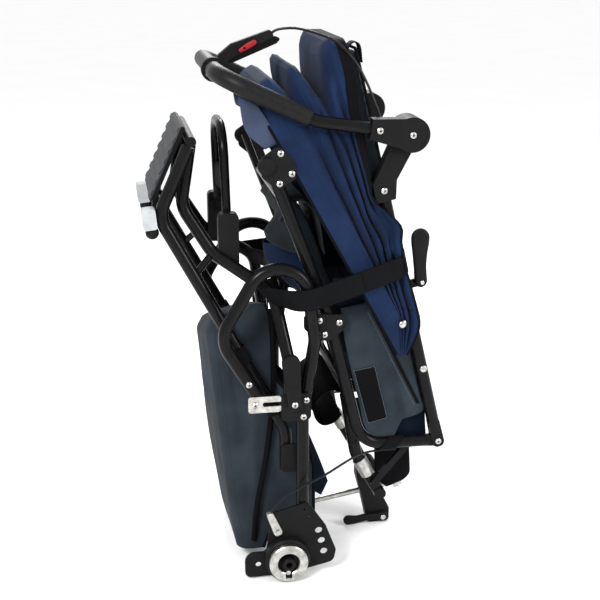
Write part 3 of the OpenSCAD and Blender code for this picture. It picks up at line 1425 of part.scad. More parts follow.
// The cable from the tip of the brake perch, over the hood, to the left handle socket
perch_tip_shares = [0.965, 1];
perch_tip_aim = aim(31.5);
lever_cable_from = at(
  bar_mid + [perch_reach * perch_tip_shares[0], perch_rise * perch_tip_shares[1]] + perch_tip_aim * fit_gap,
  perch_from - perch_w / 2);
lever_cable_to = at(handle_hinge + aim(162) * (disc_d / 2 + 2 * fit_gap), -seat_half + housing_t / 8);
lever_cable_shares = [
  [0, 0, 0], [0.06, 0.012, -0.036], [0.2, 0.2, -0.052], [0.36, 0.58, -0.01], [0.5, 0.88, 0.06],
  [0.6, 0.97, 0.17], [0.7, 0.99, 0.33], [0.79, 1, 0.54], [0.86, 1, 0.75], [0.91, 1, 0.9], [0.955, 1, 0.969],
  [1, 1, 1]
];
module lever_cable() color(cloth_black) cable(route(lever_cable_from, lever_cable_to, lever_cable_shares));

// The strap round the folded package
strap_left = seat_pivot + [-strap_back, strap_up];
strap_lift = 13;
strap_half = leg_half + tube_r + strap_slack;
strap_r = strap_w / 2;
strap_room = (back_hinge - strap_left) * -left_of(back_aim) + tube_r + 2 * fit_gap;
strap_len = strap_room / (aim(strap_lift) * -left_of(back_aim)) + strap_t;
function strap_loop(less) = rounded(
  [
    [less, -strap_half - strap_t + less], [strap_len - less, -strap_half - strap_t + less],
    [strap_len - less, strap_half + strap_t - less], [less, strap_half + strap_t - less]
  ],
  strap_r - less);
module fold_strap() color(cloth_black) {
  out = aim(strap_lift);
  set_on(at(out, 0), [0, 1, 0], cross(at(out, 0), [0, 1, 0]), at(strap_left, 0))
    linear_extrude(strap_w, center = true) difference() {
      polygon(strap_loop(0));
      polygon(strap_loop(strap_t));
    }
}

axle_beam();
wheel_plates();
brake_hubs();
brake_rings();
brake_arms();
rear_leg_left();
rear_leg_right();
lock_brackets();
lock_lever_left();
lock_lever_right();
hoop_links();
front_rail_left();
front_rail_right();
front_hanger_left();
front_hanger_right();
rail_gussets();
front_crossbars();
caster_sockets();
caster_knobs();
rail_struts();
basket();
frame_screws();
footplate_frame();
footplate_tread();
calf_blocks();
calf_bar();
calf_band();
seat_rail_left();
seat_rail_right();
seat_stays();
seat_crossbars();
seat_brackets();
knee_plates();
pommel_post();
seat_cushion();
side_panels();
seat_screws();
tilt_clamp();
qr_lever();
tilt_rod();
back_tube_left();
back_tube_right();
back_cushion();
handle_sockets();
back_bolts();
recline_lever();
hood_bow_mid();
hood_bow_front();
hood_rear_panel();
hood_front_panel();
handle_yokes();
handlebar();
handle_grip();
brake_perch();
brake_lever();
parking_tab();
handle_bolts();
hub_cables();
lever_cable();
fold_strap();
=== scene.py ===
import math

import bmesh
import bpy
import numpy as np
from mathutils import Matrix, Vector, noise


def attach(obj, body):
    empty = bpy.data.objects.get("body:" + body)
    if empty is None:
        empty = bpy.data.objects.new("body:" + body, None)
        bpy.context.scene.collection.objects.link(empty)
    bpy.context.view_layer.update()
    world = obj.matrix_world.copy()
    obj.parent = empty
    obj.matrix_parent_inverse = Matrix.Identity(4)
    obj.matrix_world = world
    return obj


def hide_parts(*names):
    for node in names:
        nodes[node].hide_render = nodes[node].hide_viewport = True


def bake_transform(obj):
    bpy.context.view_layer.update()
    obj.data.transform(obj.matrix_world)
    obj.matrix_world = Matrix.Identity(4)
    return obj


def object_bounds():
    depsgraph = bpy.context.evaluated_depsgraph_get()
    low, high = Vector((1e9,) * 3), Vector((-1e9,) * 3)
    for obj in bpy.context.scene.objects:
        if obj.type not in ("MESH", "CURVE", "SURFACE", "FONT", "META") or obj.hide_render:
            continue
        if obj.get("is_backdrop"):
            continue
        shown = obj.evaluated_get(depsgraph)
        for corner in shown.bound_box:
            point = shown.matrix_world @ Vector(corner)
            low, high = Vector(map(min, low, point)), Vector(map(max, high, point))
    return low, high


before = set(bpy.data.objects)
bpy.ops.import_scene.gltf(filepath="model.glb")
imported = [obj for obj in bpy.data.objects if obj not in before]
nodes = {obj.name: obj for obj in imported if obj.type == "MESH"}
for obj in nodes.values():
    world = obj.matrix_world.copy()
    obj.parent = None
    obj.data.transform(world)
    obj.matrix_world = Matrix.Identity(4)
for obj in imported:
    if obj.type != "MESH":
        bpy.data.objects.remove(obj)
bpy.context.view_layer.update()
scene = bpy.context.scene

# Frame tubes: bent aluminium tubes under a satin black powder coat, pinned and screwed in their brackets.
# The coat has a fine orange peel and a faint mottle.


def finish_material(name, colour, roughness, metallic=0.0, mottle=0.25, scale=60.0, bump=0.1,
                    fine=900.0, gloss=0.5):
    """A solid finish: a mottled colour and a fine grain, both in the object's own space."""
    grain_height = 0.0005
    material = bpy.data.materials.new(name)
    material.use_nodes = True
    tree = material.node_tree
    shader = tree.nodes["Principled BSDF"]
    shader.inputs["Roughness"].default_value = roughness
    shader.inputs["Metallic"].default_value = metallic
    shader.inputs["Specular IOR Level"].default_value = gloss
    place = tree.nodes.new("ShaderNodeTexCoord")
    patches = tree.nodes.new("ShaderNodeTexNoise")
    patches.inputs["Scale"].default_value = scale
    patches.inputs["Detail"].default_value = 3.0
    tree.links.new(place.outputs["Object"], patches.inputs["Vector"])
    ramp = tree.nodes.new("ShaderNodeValToRGB")
    dark_end, light_end = ramp.color_ramp.elements
    dark_end.position = 0.3
    light_end.position = 0.7
    dark_end.color = (*[c * (1 - mottle) for c in colour], 1)
    light_end.color = (*[min(1, c * (1 + mottle)) for c in colour], 1)
    tree.links.new(patches.outputs["Fac"], ramp.inputs["Fac"])
    tree.links.new(ramp.outputs["Color"], shader.inputs["Base Color"])
    grain = tree.nodes.new("ShaderNodeTexNoise")
    grain.inputs["Scale"].default_value = fine
    tree.links.new(place.outputs["Object"], grain.inputs["Vector"])
    relief = tree.nodes.new("ShaderNodeBump")
    relief.inputs["Strength"].default_value = bump
    relief.inputs["Distance"].default_value = grain_height
    tree.links.new(grain.outputs["Fac"], relief.inputs["Height"])
    tree.links.new(relief.outputs["Normal"], shader.inputs["Normal"])
    return material


def paint(material, *names):
    """Give CAD nodes one material."""
    for name in names:
        nodes[name].data.materials.clear()
        nodes[name].data.materials.append(material)


def pair(name):
    """The names of a left and right pair of nodes."""
    return name + "_left", name + "_right"


tube_coat = finish_material("tube_coat", (0.004, 0.004, 0.0045), 0.23, mottle=0.2, scale=25.0,
                            bump=0.05, gloss=0.11)
paint(tube_coat, "axle_beam", "front_crossbars", "rail_struts", "seat_stays", "seat_crossbars",
      "handlebar", "calf_bar", "hood_bow_mid", "hood_bow_front")
for tube in ("rear_leg", "front_rail", "front_hanger", "seat_rail", "back_tube"):
    paint(tube_coat, *pair(tube))

# Mouldings: glass-filled nylon brackets, housings and levers, matt black with a spark-eroded grain.
# They are sleeved on the tubes and screwed. The plates behind the wheels are of the same black.
moulding = finish_material("moulding", (0.006, 0.006, 0.0065), 0.48, mottle=0.15, scale=40.0,
                           bump=0.2, fine=1600.0, gloss=0.09)
paint(moulding, "wheel_plates", "brake_hubs", "lock_brackets", "rail_gussets", "caster_knobs",
      "footplate_frame", "calf_blocks", "seat_brackets", "knee_plates", "pommel_post", "tilt_clamp",
      "handle_sockets", "handle_yokes", "brake_perch", "brake_lever")
paint(moulding, *pair("lock_lever"))

# Bright metal: zinc-plated rings, arms, links, rod and screws, brushed and slightly stained.
# The screws hold the brackets, and the arms and the rod turn on pins.
bright = finish_material("bright_zinc", (0.45, 0.44, 0.42), 0.3, metallic=1.0, mottle=0.3,
                         scale=90.0, bump=0.15)
paint(bright, "brake_rings", "brake_arms", "hoop_links", "frame_screws", "seat_screws", "tilt_rod",
      "back_bolts", "handle_bolts")

# Caster sockets and footplate tread: a light-grey moulding on the end of each front rail, and a ribbed
# mat of dark grey rubber on the footplate.
pale = finish_material("pale_moulding", (0.34, 0.35, 0.36), 0.45, mottle=0.12, scale=50.0, bump=0.2)
paint(pale, "caster_sockets")
tread_rubber = finish_material("tread_rubber", (0.03, 0.033, 0.037), 0.62, mottle=0.3, scale=70.0,
                               bump=0.4, gloss=0.2)
paint(tread_rubber, "footplate_tread")

# Foam grip and cable covers: a sleeve of closed-cell foam pushed on the handlebar, and black plastic
# covers round the brake cables.
foam = finish_material("grip_foam", (0.007, 0.007, 0.0075), 0.42, mottle=0.25, scale=220.0,
                       bump=0.3, fine=1400.0, gloss=0.12)
paint(foam, "handle_grip")
sleeve = finish_material("cable_sleeve", (0.006, 0.006, 0.0065), 0.4, scale=150.0, gloss=0.16)
paint(sleeve, "hub_cables", "lever_cable")

# Screw sockets: each screw head has a hexagon socket in its domed end, pressed in when it is forged.
# The socket is not cut: the same small dark hexagon, painted shade for the inside of the socket, is set on
# every head that faces left or right.


def plain_copy(source, name):
    """A plain mesh object with the source's modifiers applied; the source goes."""
    bpy.context.view_layer.update()
    depsgraph = bpy.context.evaluated_depsgraph_get()
    mesh = bpy.data.meshes.new_from_object(source.evaluated_get(depsgraph))
    bpy.data.objects.remove(source)
    made = bpy.data.objects.new(name, mesh)
    made.name = name
    mesh.name = name
    scene.collection.objects.link(made)
    return made


def repeat_on(name, points, edges, build, sizes, material):
    """Copies of a small shape along points by Geometry Nodes, turned into one plain mesh."""
    base = bpy.data.meshes.new(name + "_base")
    base.from_pydata([tuple(p) for p in points], edges, [])
    carrier = bpy.data.objects.new(name + "_base", base)
    scene.collection.objects.link(carrier)
    tree = bpy.data.node_groups.new(name, "GeometryNodeTree")
    tree.interface.new_socket("Geometry", in_out="INPUT", socket_type="NodeSocketGeometry")
    tree.interface.new_socket("Geometry", in_out="OUTPUT", socket_type="NodeSocketGeometry")
    size_sockets = {
        label: tree.interface.new_socket(label, in_out="INPUT", socket_type="NodeSocketFloat")
        for label in sizes
    }
    source = tree.nodes.new("NodeGroupInput")
    result = tree.nodes.new("NodeGroupOutput")
    instance = tree.nodes.new("GeometryNodeInstanceOnPoints")
    realize = tree.nodes.new("GeometryNodeRealizeInstances")
    wear = tree.nodes.new("GeometryNodeSetMaterial")
    wear.inputs["Material"].default_value = material
    build(tree, source, instance)
    tree.links.new(instance.outputs[0], realize.inputs[0])
    tree.links.new(realize.outputs[0], wear.inputs["Geometry"])
    tree.links.new(wear.outputs[0], result.inputs[0])
    modifier = carrier.modifiers.new("repeat", "NODES")
    modifier.node_group = tree
    for label, size in sizes.items():
        modifier[size_sockets[label].identifier] = size
    return plain_copy(carrier, name)


def hexagons(tree, source, instance):
    """A short hexagonal plug that lies along Y, on each point."""
    plug = tree.nodes.new("GeometryNodeMeshCylinder")
    plug.inputs["Vertices"].default_value = 6
    turn = tree.nodes.new("GeometryNodeTransform")
    turn.inputs["Rotation"].default_value = (math.pi / 2, 0, 0)
    for label in ("Radius", "Depth"):
        tree.links.new(source.outputs[label], plug.inputs[label])
    tree.links.new(plug.outputs["Mesh"], turn.inputs["Geometry"])
    tree.links.new(turn.outputs[0], instance.inputs["Instance"])
    tree.links.new(source.outputs["Geometry"], instance.inputs["Points"])


def head_places(name, least=0.003, most=0.0075, same_head=0.012, same_level=0.0005):
    """Middles of the small round ends of screw heads in a CAD node, from its outward flat faces."""
    mesh = nodes[name].data
    flats = [p for p in mesh.polygons if abs(p.normal.y) > 0.99 and p.normal.y * p.center.y > 0]
    groups = []
    for flat in flats:
        corners = [mesh.vertices[v].co.copy() for v in flat.vertices]
        for group in groups:
            apart = group[0] - corners[0]
            if apart.length < same_head and abs(apart.y) < same_level:
                group.extend(corners)
                break
        else:
            groups.append(corners)
    boxes = [(np.min(g, 0), np.max(g, 0)) for g in (np.array(group) for group in groups)]
    return [(low + high) / 2 for low, high in boxes if least < high[0] - low[0] < most]


# Near-black colour of the socket plugs: painted shade standing for the shade in each socket's recess.
socket_painted_shade = finish_material("socket_painted_shade", (0.01, 0.01, 0.011), 0.6)
socket_sizes = {"Radius": 0.0024, "Depth": 0.0006}
for screws, body in (("frame_screws", "chassis"), ("seat_screws", "seat"),
                     ("handle_bolts", "handle"), ("back_bolts", "back")):
    sockets = repeat_on(screws + "_sockets", head_places(screws), [], hexagons, socket_sizes, socket_painted_shade)
    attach(sockets, body)

# Basket: a sewn grey cloth tub under the seat, open towards the seat, hung on the front rails by
# webbing loops. It is drawn tight between its corners, and black binding edges its mouth.


def cloth_material(name, colour, thread=1500.0, sheen=0.02, weave=0.3, mottle=0.2):
    """Woven cloth: crossed bands for the threads, slow patches for the fading."""
    band_turn = 6.28
    material = finish_material(name, colour, 0.72, mottle=mottle, scale=16.0, bump=weave, gloss=0.06)
    tree = material.node_tree
    shader = tree.nodes["Principled BSDF"]
    shader.inputs["Sheen Weight"].default_value = sheen
    shader.inputs["Sheen Roughness"].default_value = 0.5
    place = next(n for n in tree.nodes if n.type == "TEX_COORD")
    relief = next(n for n in tree.nodes if n.type == "BUMP")
    cross = tree.nodes.new("ShaderNodeMath")
    cross.operation = "MULTIPLY"
    for k, axis in enumerate(("X", "Z")):
        threads = tree.nodes.new("ShaderNodeTexWave")
        threads.bands_direction = axis
        threads.inputs["Scale"].default_value = thread / band_turn
        threads.inputs["Distortion"].default_value = 0.6
        tree.links.new(place.outputs["Object"], threads.inputs["Vector"])
        tree.links.new(threads.outputs["Fac"], cross.inputs[k])
    tree.links.new(cross.outputs[0], relief.inputs["Height"])
    return material


def add_mesh(name, points, faces, material):
    """A smooth mesh object from points in the shared frame."""
    mesh = bpy.data.meshes.new(name)
    mesh.from_pydata([tuple(p) for p in points], [], faces)
    mesh.polygons.foreach_set("use_smooth", [True] * len(mesh.polygons))
    mesh.materials.append(material)
    mesh.update()
    made = bpy.data.objects.new(name, mesh)
    scene.collection.objects.link(made)
    return made


def grid(name, rows, material, ring=False, thick=0.0014):
    """A sheet through rows of points; ring joins each row's ends, thick gives the cloth two faces."""
    count = len(rows[0])
    last = count if ring else count - 1
    faces = []
    for start in range(0, (len(rows) - 1) * count, count):
        for j in range(last):
            beside = (j + 1) % count
            faces.append((start + j, start + beside, start + count + beside, start + count + j))
    made = add_mesh(name, [p for row in rows for p in row], faces, material)
    if thick:
        wall = made.modifiers.new("wall", "SOLIDIFY")
        wall.thickness = thick
        wall.offset = 0.0
        made = plain_copy(made, name)
    return made


def cloth(name, rows, material, body, ring=False, thick=0.0014):
    """A sheet through rows of points that rides on a body, with the material slot of its finish."""
    made = grid(name, rows, material, ring, thick)
    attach(made, body)
    return made


def piping(name, points, radius, material, body):
    """A round corded edge along points, riding on a body."""
    curve = bpy.data.curves.new(name, "CURVE")
    curve.dimensions = "3D"
    curve.bevel_depth = radius
    curve.bevel_resolution = 3
    curve.use_fill_caps = True
    line = curve.splines.new("POLY")
    line.points.add(len(points) - 1)
    for knot, p in zip(line.points, points):
        knot.co = (*p, 1)
    carrier = bpy.data.objects.new(name + "_line", curve)
    scene.collection.objects.link(carrier)
    made = plain_copy(carrier, name)
    made.data.materials.clear()
    made.data.materials.append(material)
    made.data.polygons.foreach_set("use_smooth", [True] * len(made.data.polygons))
    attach(made, body)
    return made


def crease(p, size, depth, seed):
    """A smooth random height at a point, from -depth to depth, with folds of about this size."""
    return depth * noise.noise(Vector(p) / size + Vector((seed, seed * 0.7, -seed)))


def through(points, count, steps=24):
    """Evenly spaced points on a smooth line through a few given ones."""
    spots = np.array([tuple(p) for p in points], float)
    ends = np.vstack([2 * spots[0] - spots[1], spots, 2 * spots[-1] - spots[-2]])
    fine = []
    for i in range(1, len(ends) - 2):
        a, b, c, d = ends[i - 1:i + 3]
        square = 2 * a - 5 * b + 4 * c - d
        cube = 3 * b - a - 3 * c + d
        for t in np.linspace(0, 1, steps, endpoint=False):
            fine.append(0.5 * (2 * b + (c - a) * t + square * t**2 + cube * t**3))
    fine = np.array(fine + [spots[-1]])
    away = np.concatenate([[0], np.cumsum(np.linalg.norm(np.diff(fine, axis=0), axis=1))])
    even = np.linspace(0, away[-1], count)
    return [Vector([np.interp(s, away, fine[:, k]) for k in range(fine.shape[1])]) for s in even]


def mirrored(points):
    """The same points on the other side of the buggy's middle plane."""
    return [Vector((p[0], -p[1], p[2])) for p in points]


grey_cloth = cloth_material("grey_cloth", (0.0175, 0.024, 0.0305), mottle=0.28)
black_cloth = cloth_material("black_cloth", (0.002, 0.002, 0.003), sheen=0.0)
webbing = cloth_material("webbing", (0.0035, 0.0037, 0.0043), thread=2600.0, weave=0.6, sheen=0.0)
# A darker copy of the navy cloth: partly a dark lining, partly painted shade inside the tub and in the seat
# corners.
navy_lining_and_shade = cloth_material("navy_lining_and_painted_shade", (0.003, 0.006, 0.013), sheen=0.0)

sides = (("left", 1), ("right", -1))
basket_low, basket_top, basket_levels = 0.029, 0.557, 73
basket_half_low, basket_half_top = 0.142, 0.12
swell_low, swell_tall = 0.02, 0.545
basket_heights = [0.027, 0.061, 0.077, 0.096, 0.202, 0.324, 0.4, 0.5, 0.532, 0.558]
basket_lefts = [-0.122, -0.129, -0.132, -0.135, -0.147, -0.159, -0.166, -0.176, -0.164, -0.092]
basket_rights = [-0.07, -0.059, -0.026, 0.036, 0.036, 0.011, -0.041, -0.046, -0.05, -0.06]
basket_gather = (-0.02, 0.585)
gather_folds, gather_depth, gather_reach = 10, 0.0065, 0.2
side_bulge, rear_bulge = 0.004, 0.012


def settled(p, start=0.3, top=0.558, half=0.14, drop=0.085):
    """A point of the tub after its far side has sagged below the near one."""
    return Vector((p.x, p.y, p.z - drop * max(0, p.z - start) / (top - start) * (p.y + half) / (2 * half)))


def basket_row(z, corner=0.035, side=22, arc=8, rear=20):
    """One level of the tub: along the near side, round the rear and along the far side."""
    left = np.interp(z, basket_heights, basket_lefts)
    right = np.interp(z, basket_heights, basket_rights)
    half = np.interp(z, [0, basket_top], [basket_half_low, basket_half_top])
    corner = min(corner, (right - left) * 0.45)
    swell = max(0, math.sin(math.pi * (z - swell_low) / swell_tall)) ** 0.6
    near = []
    for k in range(side):
        t = k / side
        x = right + (left + corner - right) * t
        off_x, off_z = x - basket_gather[0], z - basket_gather[1]
        fade = math.exp(-math.hypot(off_x, off_z) / gather_reach)
        pull = gather_depth * math.sin(gather_folds * math.atan2(off_z, off_x)) * fade * swell
        fold = crease((x * 1.2, 0, z * 0.22), size=0.03, depth=0.007, seed=3.0) * swell
        bulge = side_bulge * swell * math.sin(math.pi * t)
        near.append(Vector((x, -half - bulge - pull - fold, z)))
    for k in range(arc):
        a = math.pi / 2 * k / arc
        near.append(Vector((left + corner - corner * math.sin(a), -half + corner - corner * math.cos(a), z)))
    back = []
    for k in range(rear + 1):
        t = k / rear
        y = (-half + corner) * (1 - 2 * t)
        fold = crease((0, y, z * 0.3), size=0.045, depth=0.005, seed=8.0) * swell
        back.append(Vector((left - rear_bulge * swell * math.sin(math.pi * t) - fold, y, z)))
    return [settled(p) for p in near + back + mirrored(near[::-1])]


def basket_end(name, ring, rise):
    """The cloth that closes the tub at its top or its bottom, drawn in to its middle."""
    middle = np.mean(np.array(ring), 0)
    rows = []
    for t in np.linspace(0, 0.98, 9):
        lift = np.array((0, 0, rise * math.sin(t * math.pi / 2)))
        rows.append([np.array(p) * (1 - t) + middle * t + lift for p in ring])
    return cloth(name, rows, grey_cloth, "chassis", thick=0.002)


basket_rows = [basket_row(z) for z in np.linspace(basket_low, basket_top, basket_levels)]
basket = cloth("basket_cloth", basket_rows, grey_cloth, "chassis", thick=0.002)
basket_ends = [basket_end("basket_top", basket_rows[-1], 0.005),
               basket_end("basket_floor", basket_rows[0], -0.002)]
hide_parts("basket")
binding_radius, mouth_radius, seam_radius = 0.006, 0.0032, 0.0016
binding_spots = [(-0.05, -0.128, 0.545), (-0.046, -0.132, 0.48), (-0.046, -0.138, 0.4),
                 (-0.052, -0.145, 0.32), (-0.066, -0.148, 0.22), (-0.083, -0.149, 0.13),
                 (-0.09, -0.145, 0.05)]
binding_line = through(binding_spots, 40)
for ending, line in (("left", binding_line), ("right", mirrored(binding_line))):
    piping("basket_binding_" + ending, [settled(p) for p in line], binding_radius, black_cloth, "chassis")
for ending, column in (("left", 0), ("right", -1)):
    edge = [row[column] for row in basket_rows]
    piping("basket_mouth_" + ending, edge, mouth_radius, black_cloth, "chassis")
for ending, column in (("left", 25), ("right", -26)):
    seam = [row[column] for row in basket_rows]
    piping("basket_seam_" + ending, seam, seam_radius, grey_cloth, "chassis")

loop_radius, loop_ripple, loop_half = 0.0146, 0.0008, 0.018
rail_low, rail_high = Vector((-0.026, -0.165, 0.3)), Vector((-0.262, -0.125, 0.735))
rail_way = (rail_high - rail_low).normalized()
rail_side = rail_way.cross(Vector((0, 1, 0))).normalized()
rail_up = rail_way.cross(rail_side)
for number, z in enumerate((0.352, 0.457)):
    on_rail = rail_low.lerp(rail_high, (z - rail_low.z) / (rail_high.z - rail_low.z))
    loop_rows = []
    for along in np.linspace(-loop_half, loop_half, 7):
        middle = on_rail + rail_way * along
        row = []
        for a in np.linspace(0, 2 * math.pi, 28, endpoint=False):
            radius = loop_radius + loop_ripple * math.cos(7 * a)
            row.append(middle + (rail_side * math.cos(a) + rail_up * math.sin(a)) * radius)
        loop_rows.append(row)
    for ending, rows in (("left", loop_rows), ("right", [mirrored(row) for row in loop_rows])):
        loop = cloth(f"basket_loop_{number}_{ending}", rows, webbing, "chassis",
                     ring=True, thick=0.0016)

# Basket lining: the dark inner cloth of the tub, sewn in at its mouth, which stands out past the rear
# legs as a loose flap on each side. Its dark colour is partly the lining's own and partly painted shade
# inside the tub.
lining_y = -0.121
lining_top = [(0.005, 0.322), (0.025, 0.278), (0.05, 0.215), (0.069, 0.16)]
lining_low = [(-0.02, 0.305), (-0.012, 0.24), (0.0, 0.17), (0.055, 0.128)]
for ending, sign in sides:
    lining_rows = []
    for high, low in zip(through(lining_top, 22), through(lining_low, 22)):
        row = []
        for t in np.linspace(0, 1, 12):
            x, z = high.lerp(low, t)
            fold = crease((x, 0, z), size=0.04, depth=0.003, seed=12.0)
            row.append((x, sign * (lining_y + fold), z))
        lining_rows.append(row)
    lining = cloth("basket_lining_" + ending, lining_rows, navy_lining_and_shade, "chassis")

# Calf band: a soft black band of webbing over thin foam, held between the legs of the calf bar and a
# little slack in the middle.


def closed(made):
    """The same object with its poles merged, its open ends filled and its faces turned outwards."""
    shape = bmesh.new()
    shape.from_mesh(made.data)
    bmesh.ops.remove_doubles(shape, verts=shape.verts, dist=1e-6)
    bmesh.ops.holes_fill(shape, edges=shape.edges)
    bmesh.ops.recalc_face_normals(shape, faces=shape.faces)
    shape.to_mesh(made.data)
    shape.free()
    return made


band_low, band_high, band_half = 0.751, 0.803, 0.0735
band_half_thick, band_slack = 0.0045, 0.006
legs_x, legs_z, legs_lean = -0.1287, 0.712, -0.0273
band_middle, band_half_tall = (band_low + band_high) / 2, (band_high - band_low) / 2
band_rows = []
for z in np.linspace(band_low, band_high, 14):
    edge = abs(z - band_middle) / band_half_tall
    deep = band_half_thick * math.sqrt(max(0.02, 1 - edge**4))
    between_legs = legs_x + legs_lean * (z - legs_z)
    row = []
    for face in (1, -1):
        for y in np.linspace(-face * band_half, face * band_half, 24):
            row.append((between_legs + face * deep + band_slack * (1 - (y / band_half) ** 2), y, z))
    band_rows.append(row)
calf_band = closed(grid("calf_band_cloth", band_rows, webbing, ring=True, thick=0))
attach(calf_band, "calf_rest")
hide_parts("calf_band")

# Seat and back cushions: foam slabs in grey sewn covers with cross channels, held between the tubes of
# the seat and of the back. The covers are blown up a little by a cloth simulation, so they look stuffed.


def stuffed(node, name, body, material, voxel=0.005, limit=0.006, last_frame=20):
    """The cushion of a CAD node, remeshed and filled by cloth pressure, with its movement limited."""
    shell = bpy.data.objects.new(name + "_shell", nodes[node].data.copy())
    scene.collection.objects.link(shell)
    remesh = shell.modifiers.new("remesh", "REMESH")
    remesh.mode = "VOXEL"
    remesh.voxel_size = voxel
    made = plain_copy(shell, name)
    before = np.array([v.co for v in made.data.vertices])
    cover = made.modifiers.new("cloth", "CLOTH")
    cover.settings.quality = 4
    cover.settings.mass = 0.2
    cover.settings.use_pressure = True
    cover.settings.uniform_pressure_force = 4.0
    cover.settings.effector_weights.gravity = 0.0
    cover.settings.tension_stiffness = 25.0
    cover.settings.compression_stiffness = 25.0
    cover.point_cache.frame_start = 1
    cover.point_cache.frame_end = last_frame
    for step in range(1, last_frame + 1):
        scene.frame_set(step)
    made = plain_copy(made, name)
    shift = np.array([v.co for v in made.data.vertices]) - before
    length = np.maximum(np.linalg.norm(shift, axis=1), 1e-9)
    shift *= np.minimum(1, limit / length)[:, None]
    made.data.vertices.foreach_set("co", (before + shift).astype(np.float32).ravel())
    made.data.update()
    scene.frame_set(1)
    made.data.materials.clear()
    made.data.materials.append(material)
    made.data.polygons.foreach_set("use_smooth", [True] * len(made.data.polygons))
    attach(made, body)
    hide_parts(node)
    return made


seat_pad = stuffed("seat_cushion", "seat_pad", "seat", grey_cloth)
back_pad = stuffed("back_cushion", "back_pad", "back", grey_cloth)

# Edges of the back cushion: black binding sewn round its front and back edges, a row of stitches
# inside the rear one, and a short webbing loop at the top of its back.
back_foot = Vector((0.28757, 0, 0.2567))
back_way = Vector((-0.23175, 0, 0.97278))
back_left = Vector((-0.97278, 0, -0.23175))


def back_at(along, left, y):
    """A place on the back: along its tubes from the hinge, off them towards the seat, and across."""
    return back_foot + back_way * along + back_left * left + Vector((0, y, 0))


def stitch_row(tree, source, instance):
    """Short threads laid end to end along the carrier's edges."""
    line = tree.nodes.new("GeometryNodeMeshToCurve")
    spread = tree.nodes.new("GeometryNodeResampleCurve")
    spread.mode = "LENGTH"
    thread = tree.nodes.new("GeometryNodeMeshCylinder")
    thread.inputs["Vertices"].default_value = 6
    tangent = tree.nodes.new("GeometryNodeInputTangent")
    align = tree.nodes.new("FunctionNodeAlignRotationToVector")
    align.axis = "Z"
    tree.links.new(source.outputs["Pitch"], spread.inputs["Length"])
    tree.links.new(source.outputs["Radius"], thread.inputs["Radius"])
    tree.links.new(source.outputs["Length"], thread.inputs["Depth"])
    tree.links.new(tangent.outputs[0], align.inputs["Vector"])
    tree.links.new(source.outputs["Geometry"], line.inputs[0])
    tree.links.new(line.outputs[0], spread.inputs[0])
    tree.links.new(spread.outputs[0], instance.inputs["Points"])
    tree.links.new(thread.outputs["Mesh"], instance.inputs["Instance"])
    tree.links.new(align.outputs[0], instance.inputs["Rotation"])


stitch_sizes = {"Pitch": 0.005, "Radius": 0.0005, "Length": 0.0034}
grey_thread = finish_material("grey_thread", (0.085, 0.1, 0.115), 0.6, scale=400.0)


def stitches(name, points, body):
    """A row of grey stitches along points, riding on a body."""
    edges = [(k, k + 1) for k in range(len(points) - 1)]
    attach(repeat_on(name, points, edges, stitch_row, stitch_sizes, grey_thread), body)


def back_frame(inset, left, cut=0.009):
    """A line up one side of the back cover, across its top and down the other, with its corners cut."""
    low, high, half = 0.064, 0.808 - inset, 0.1495 - inset
    up = [(low, -half), (high - cut, -half), (high, -half + cut)]
    down = [(along, -y) for along, y in reversed(up)]
    return [back_at(along, left, y) for along, y in up + down]


for name, left, radius in (("front", 0.0205, 0.005), ("rear", -0.0105, 0.003)):
    piping("back_binding_" + name, back_frame(0.0, left), radius, black_cloth, "back")
stitches("back_stitches", back_frame(0.012, -0.0132), "back")
loop_spots = [(0.812, 0.004), (0.82, -0.008), (0.812, -0.019), (0.78, -0.0165)]
loop_first, loop_last = -0.15, -0.118
loop_line = through([back_at(along, left, 0) for along, left in loop_spots], 18)
loop_rows = [[p + Vector((0, y, 0)) for y in np.linspace(loop_first, loop_last, 5)] for p in loop_line]
back_loop = cloth("back_loop", loop_rows, webbing, "back", thick=0.002)

# Seat underside: a dark cloth sling sewn between the rails under the cushion, a navy pocket that sags
# below it, the tail of the seat cover over its front edge, a black apron at the rear and a black flap
# behind each stay.
seat_foot = Vector((0.06057, 0, 0.53))
seat_way = Vector((-0.35082, 0, 0.93644))
seat_down = Vector((-0.93644, 0, -0.35082))


def hill(value, middle, spread):
    """A smooth hill of height 1 about a middle."""
    return math.exp(-((value - middle) / spread) ** 2)


def slung(name, first, last, depths, material, seed, half=0.151, slack=-0.1, spread=0.055):
    """Cloth slung between the seat rails, sagging by these depths about one place across."""
    below_rails = 0.006
    rows = []
    for t in np.linspace(0, 1, 36):
        middle = seat_foot + seat_way * (first + (last - first) * t)
        depth = np.interp(t, np.linspace(0, 1, len(depths)), depths)
        row = []
        for y in np.linspace(-half, half, 41):
            edge = 1 - (abs(y) / half) ** 6
            fold = crease((y, 0, middle.z * 0.7), size=0.04, depth=0.004, seed=seed)
            p = middle + seat_down * (below_rails + (depth * hill(y, slack, spread) + fold) * edge)
            row.append((p.x, y, p.z))
        rows.append(row)
    return cloth(name, rows, material, "seat")


charcoal = cloth_material("charcoal_cloth", (0.011, 0.014, 0.017))
navy_cloth = cloth_material("navy_cloth", (0.0055, 0.0135, 0.04), sheen=0.03, mottle=0.32)
sling = slung("seat_sling", 0.14, 0.226, [0.02, 0.04, 0.052, 0.05, 0.02, 0.0], charcoal, 21.0)
pocket = slung("seat_pocket", -0.03, 0.146, [0.0, 0.016, 0.036, 0.052, 0.06, 0.052], navy_cloth,
               25.0, half=0.075, slack=0.0)

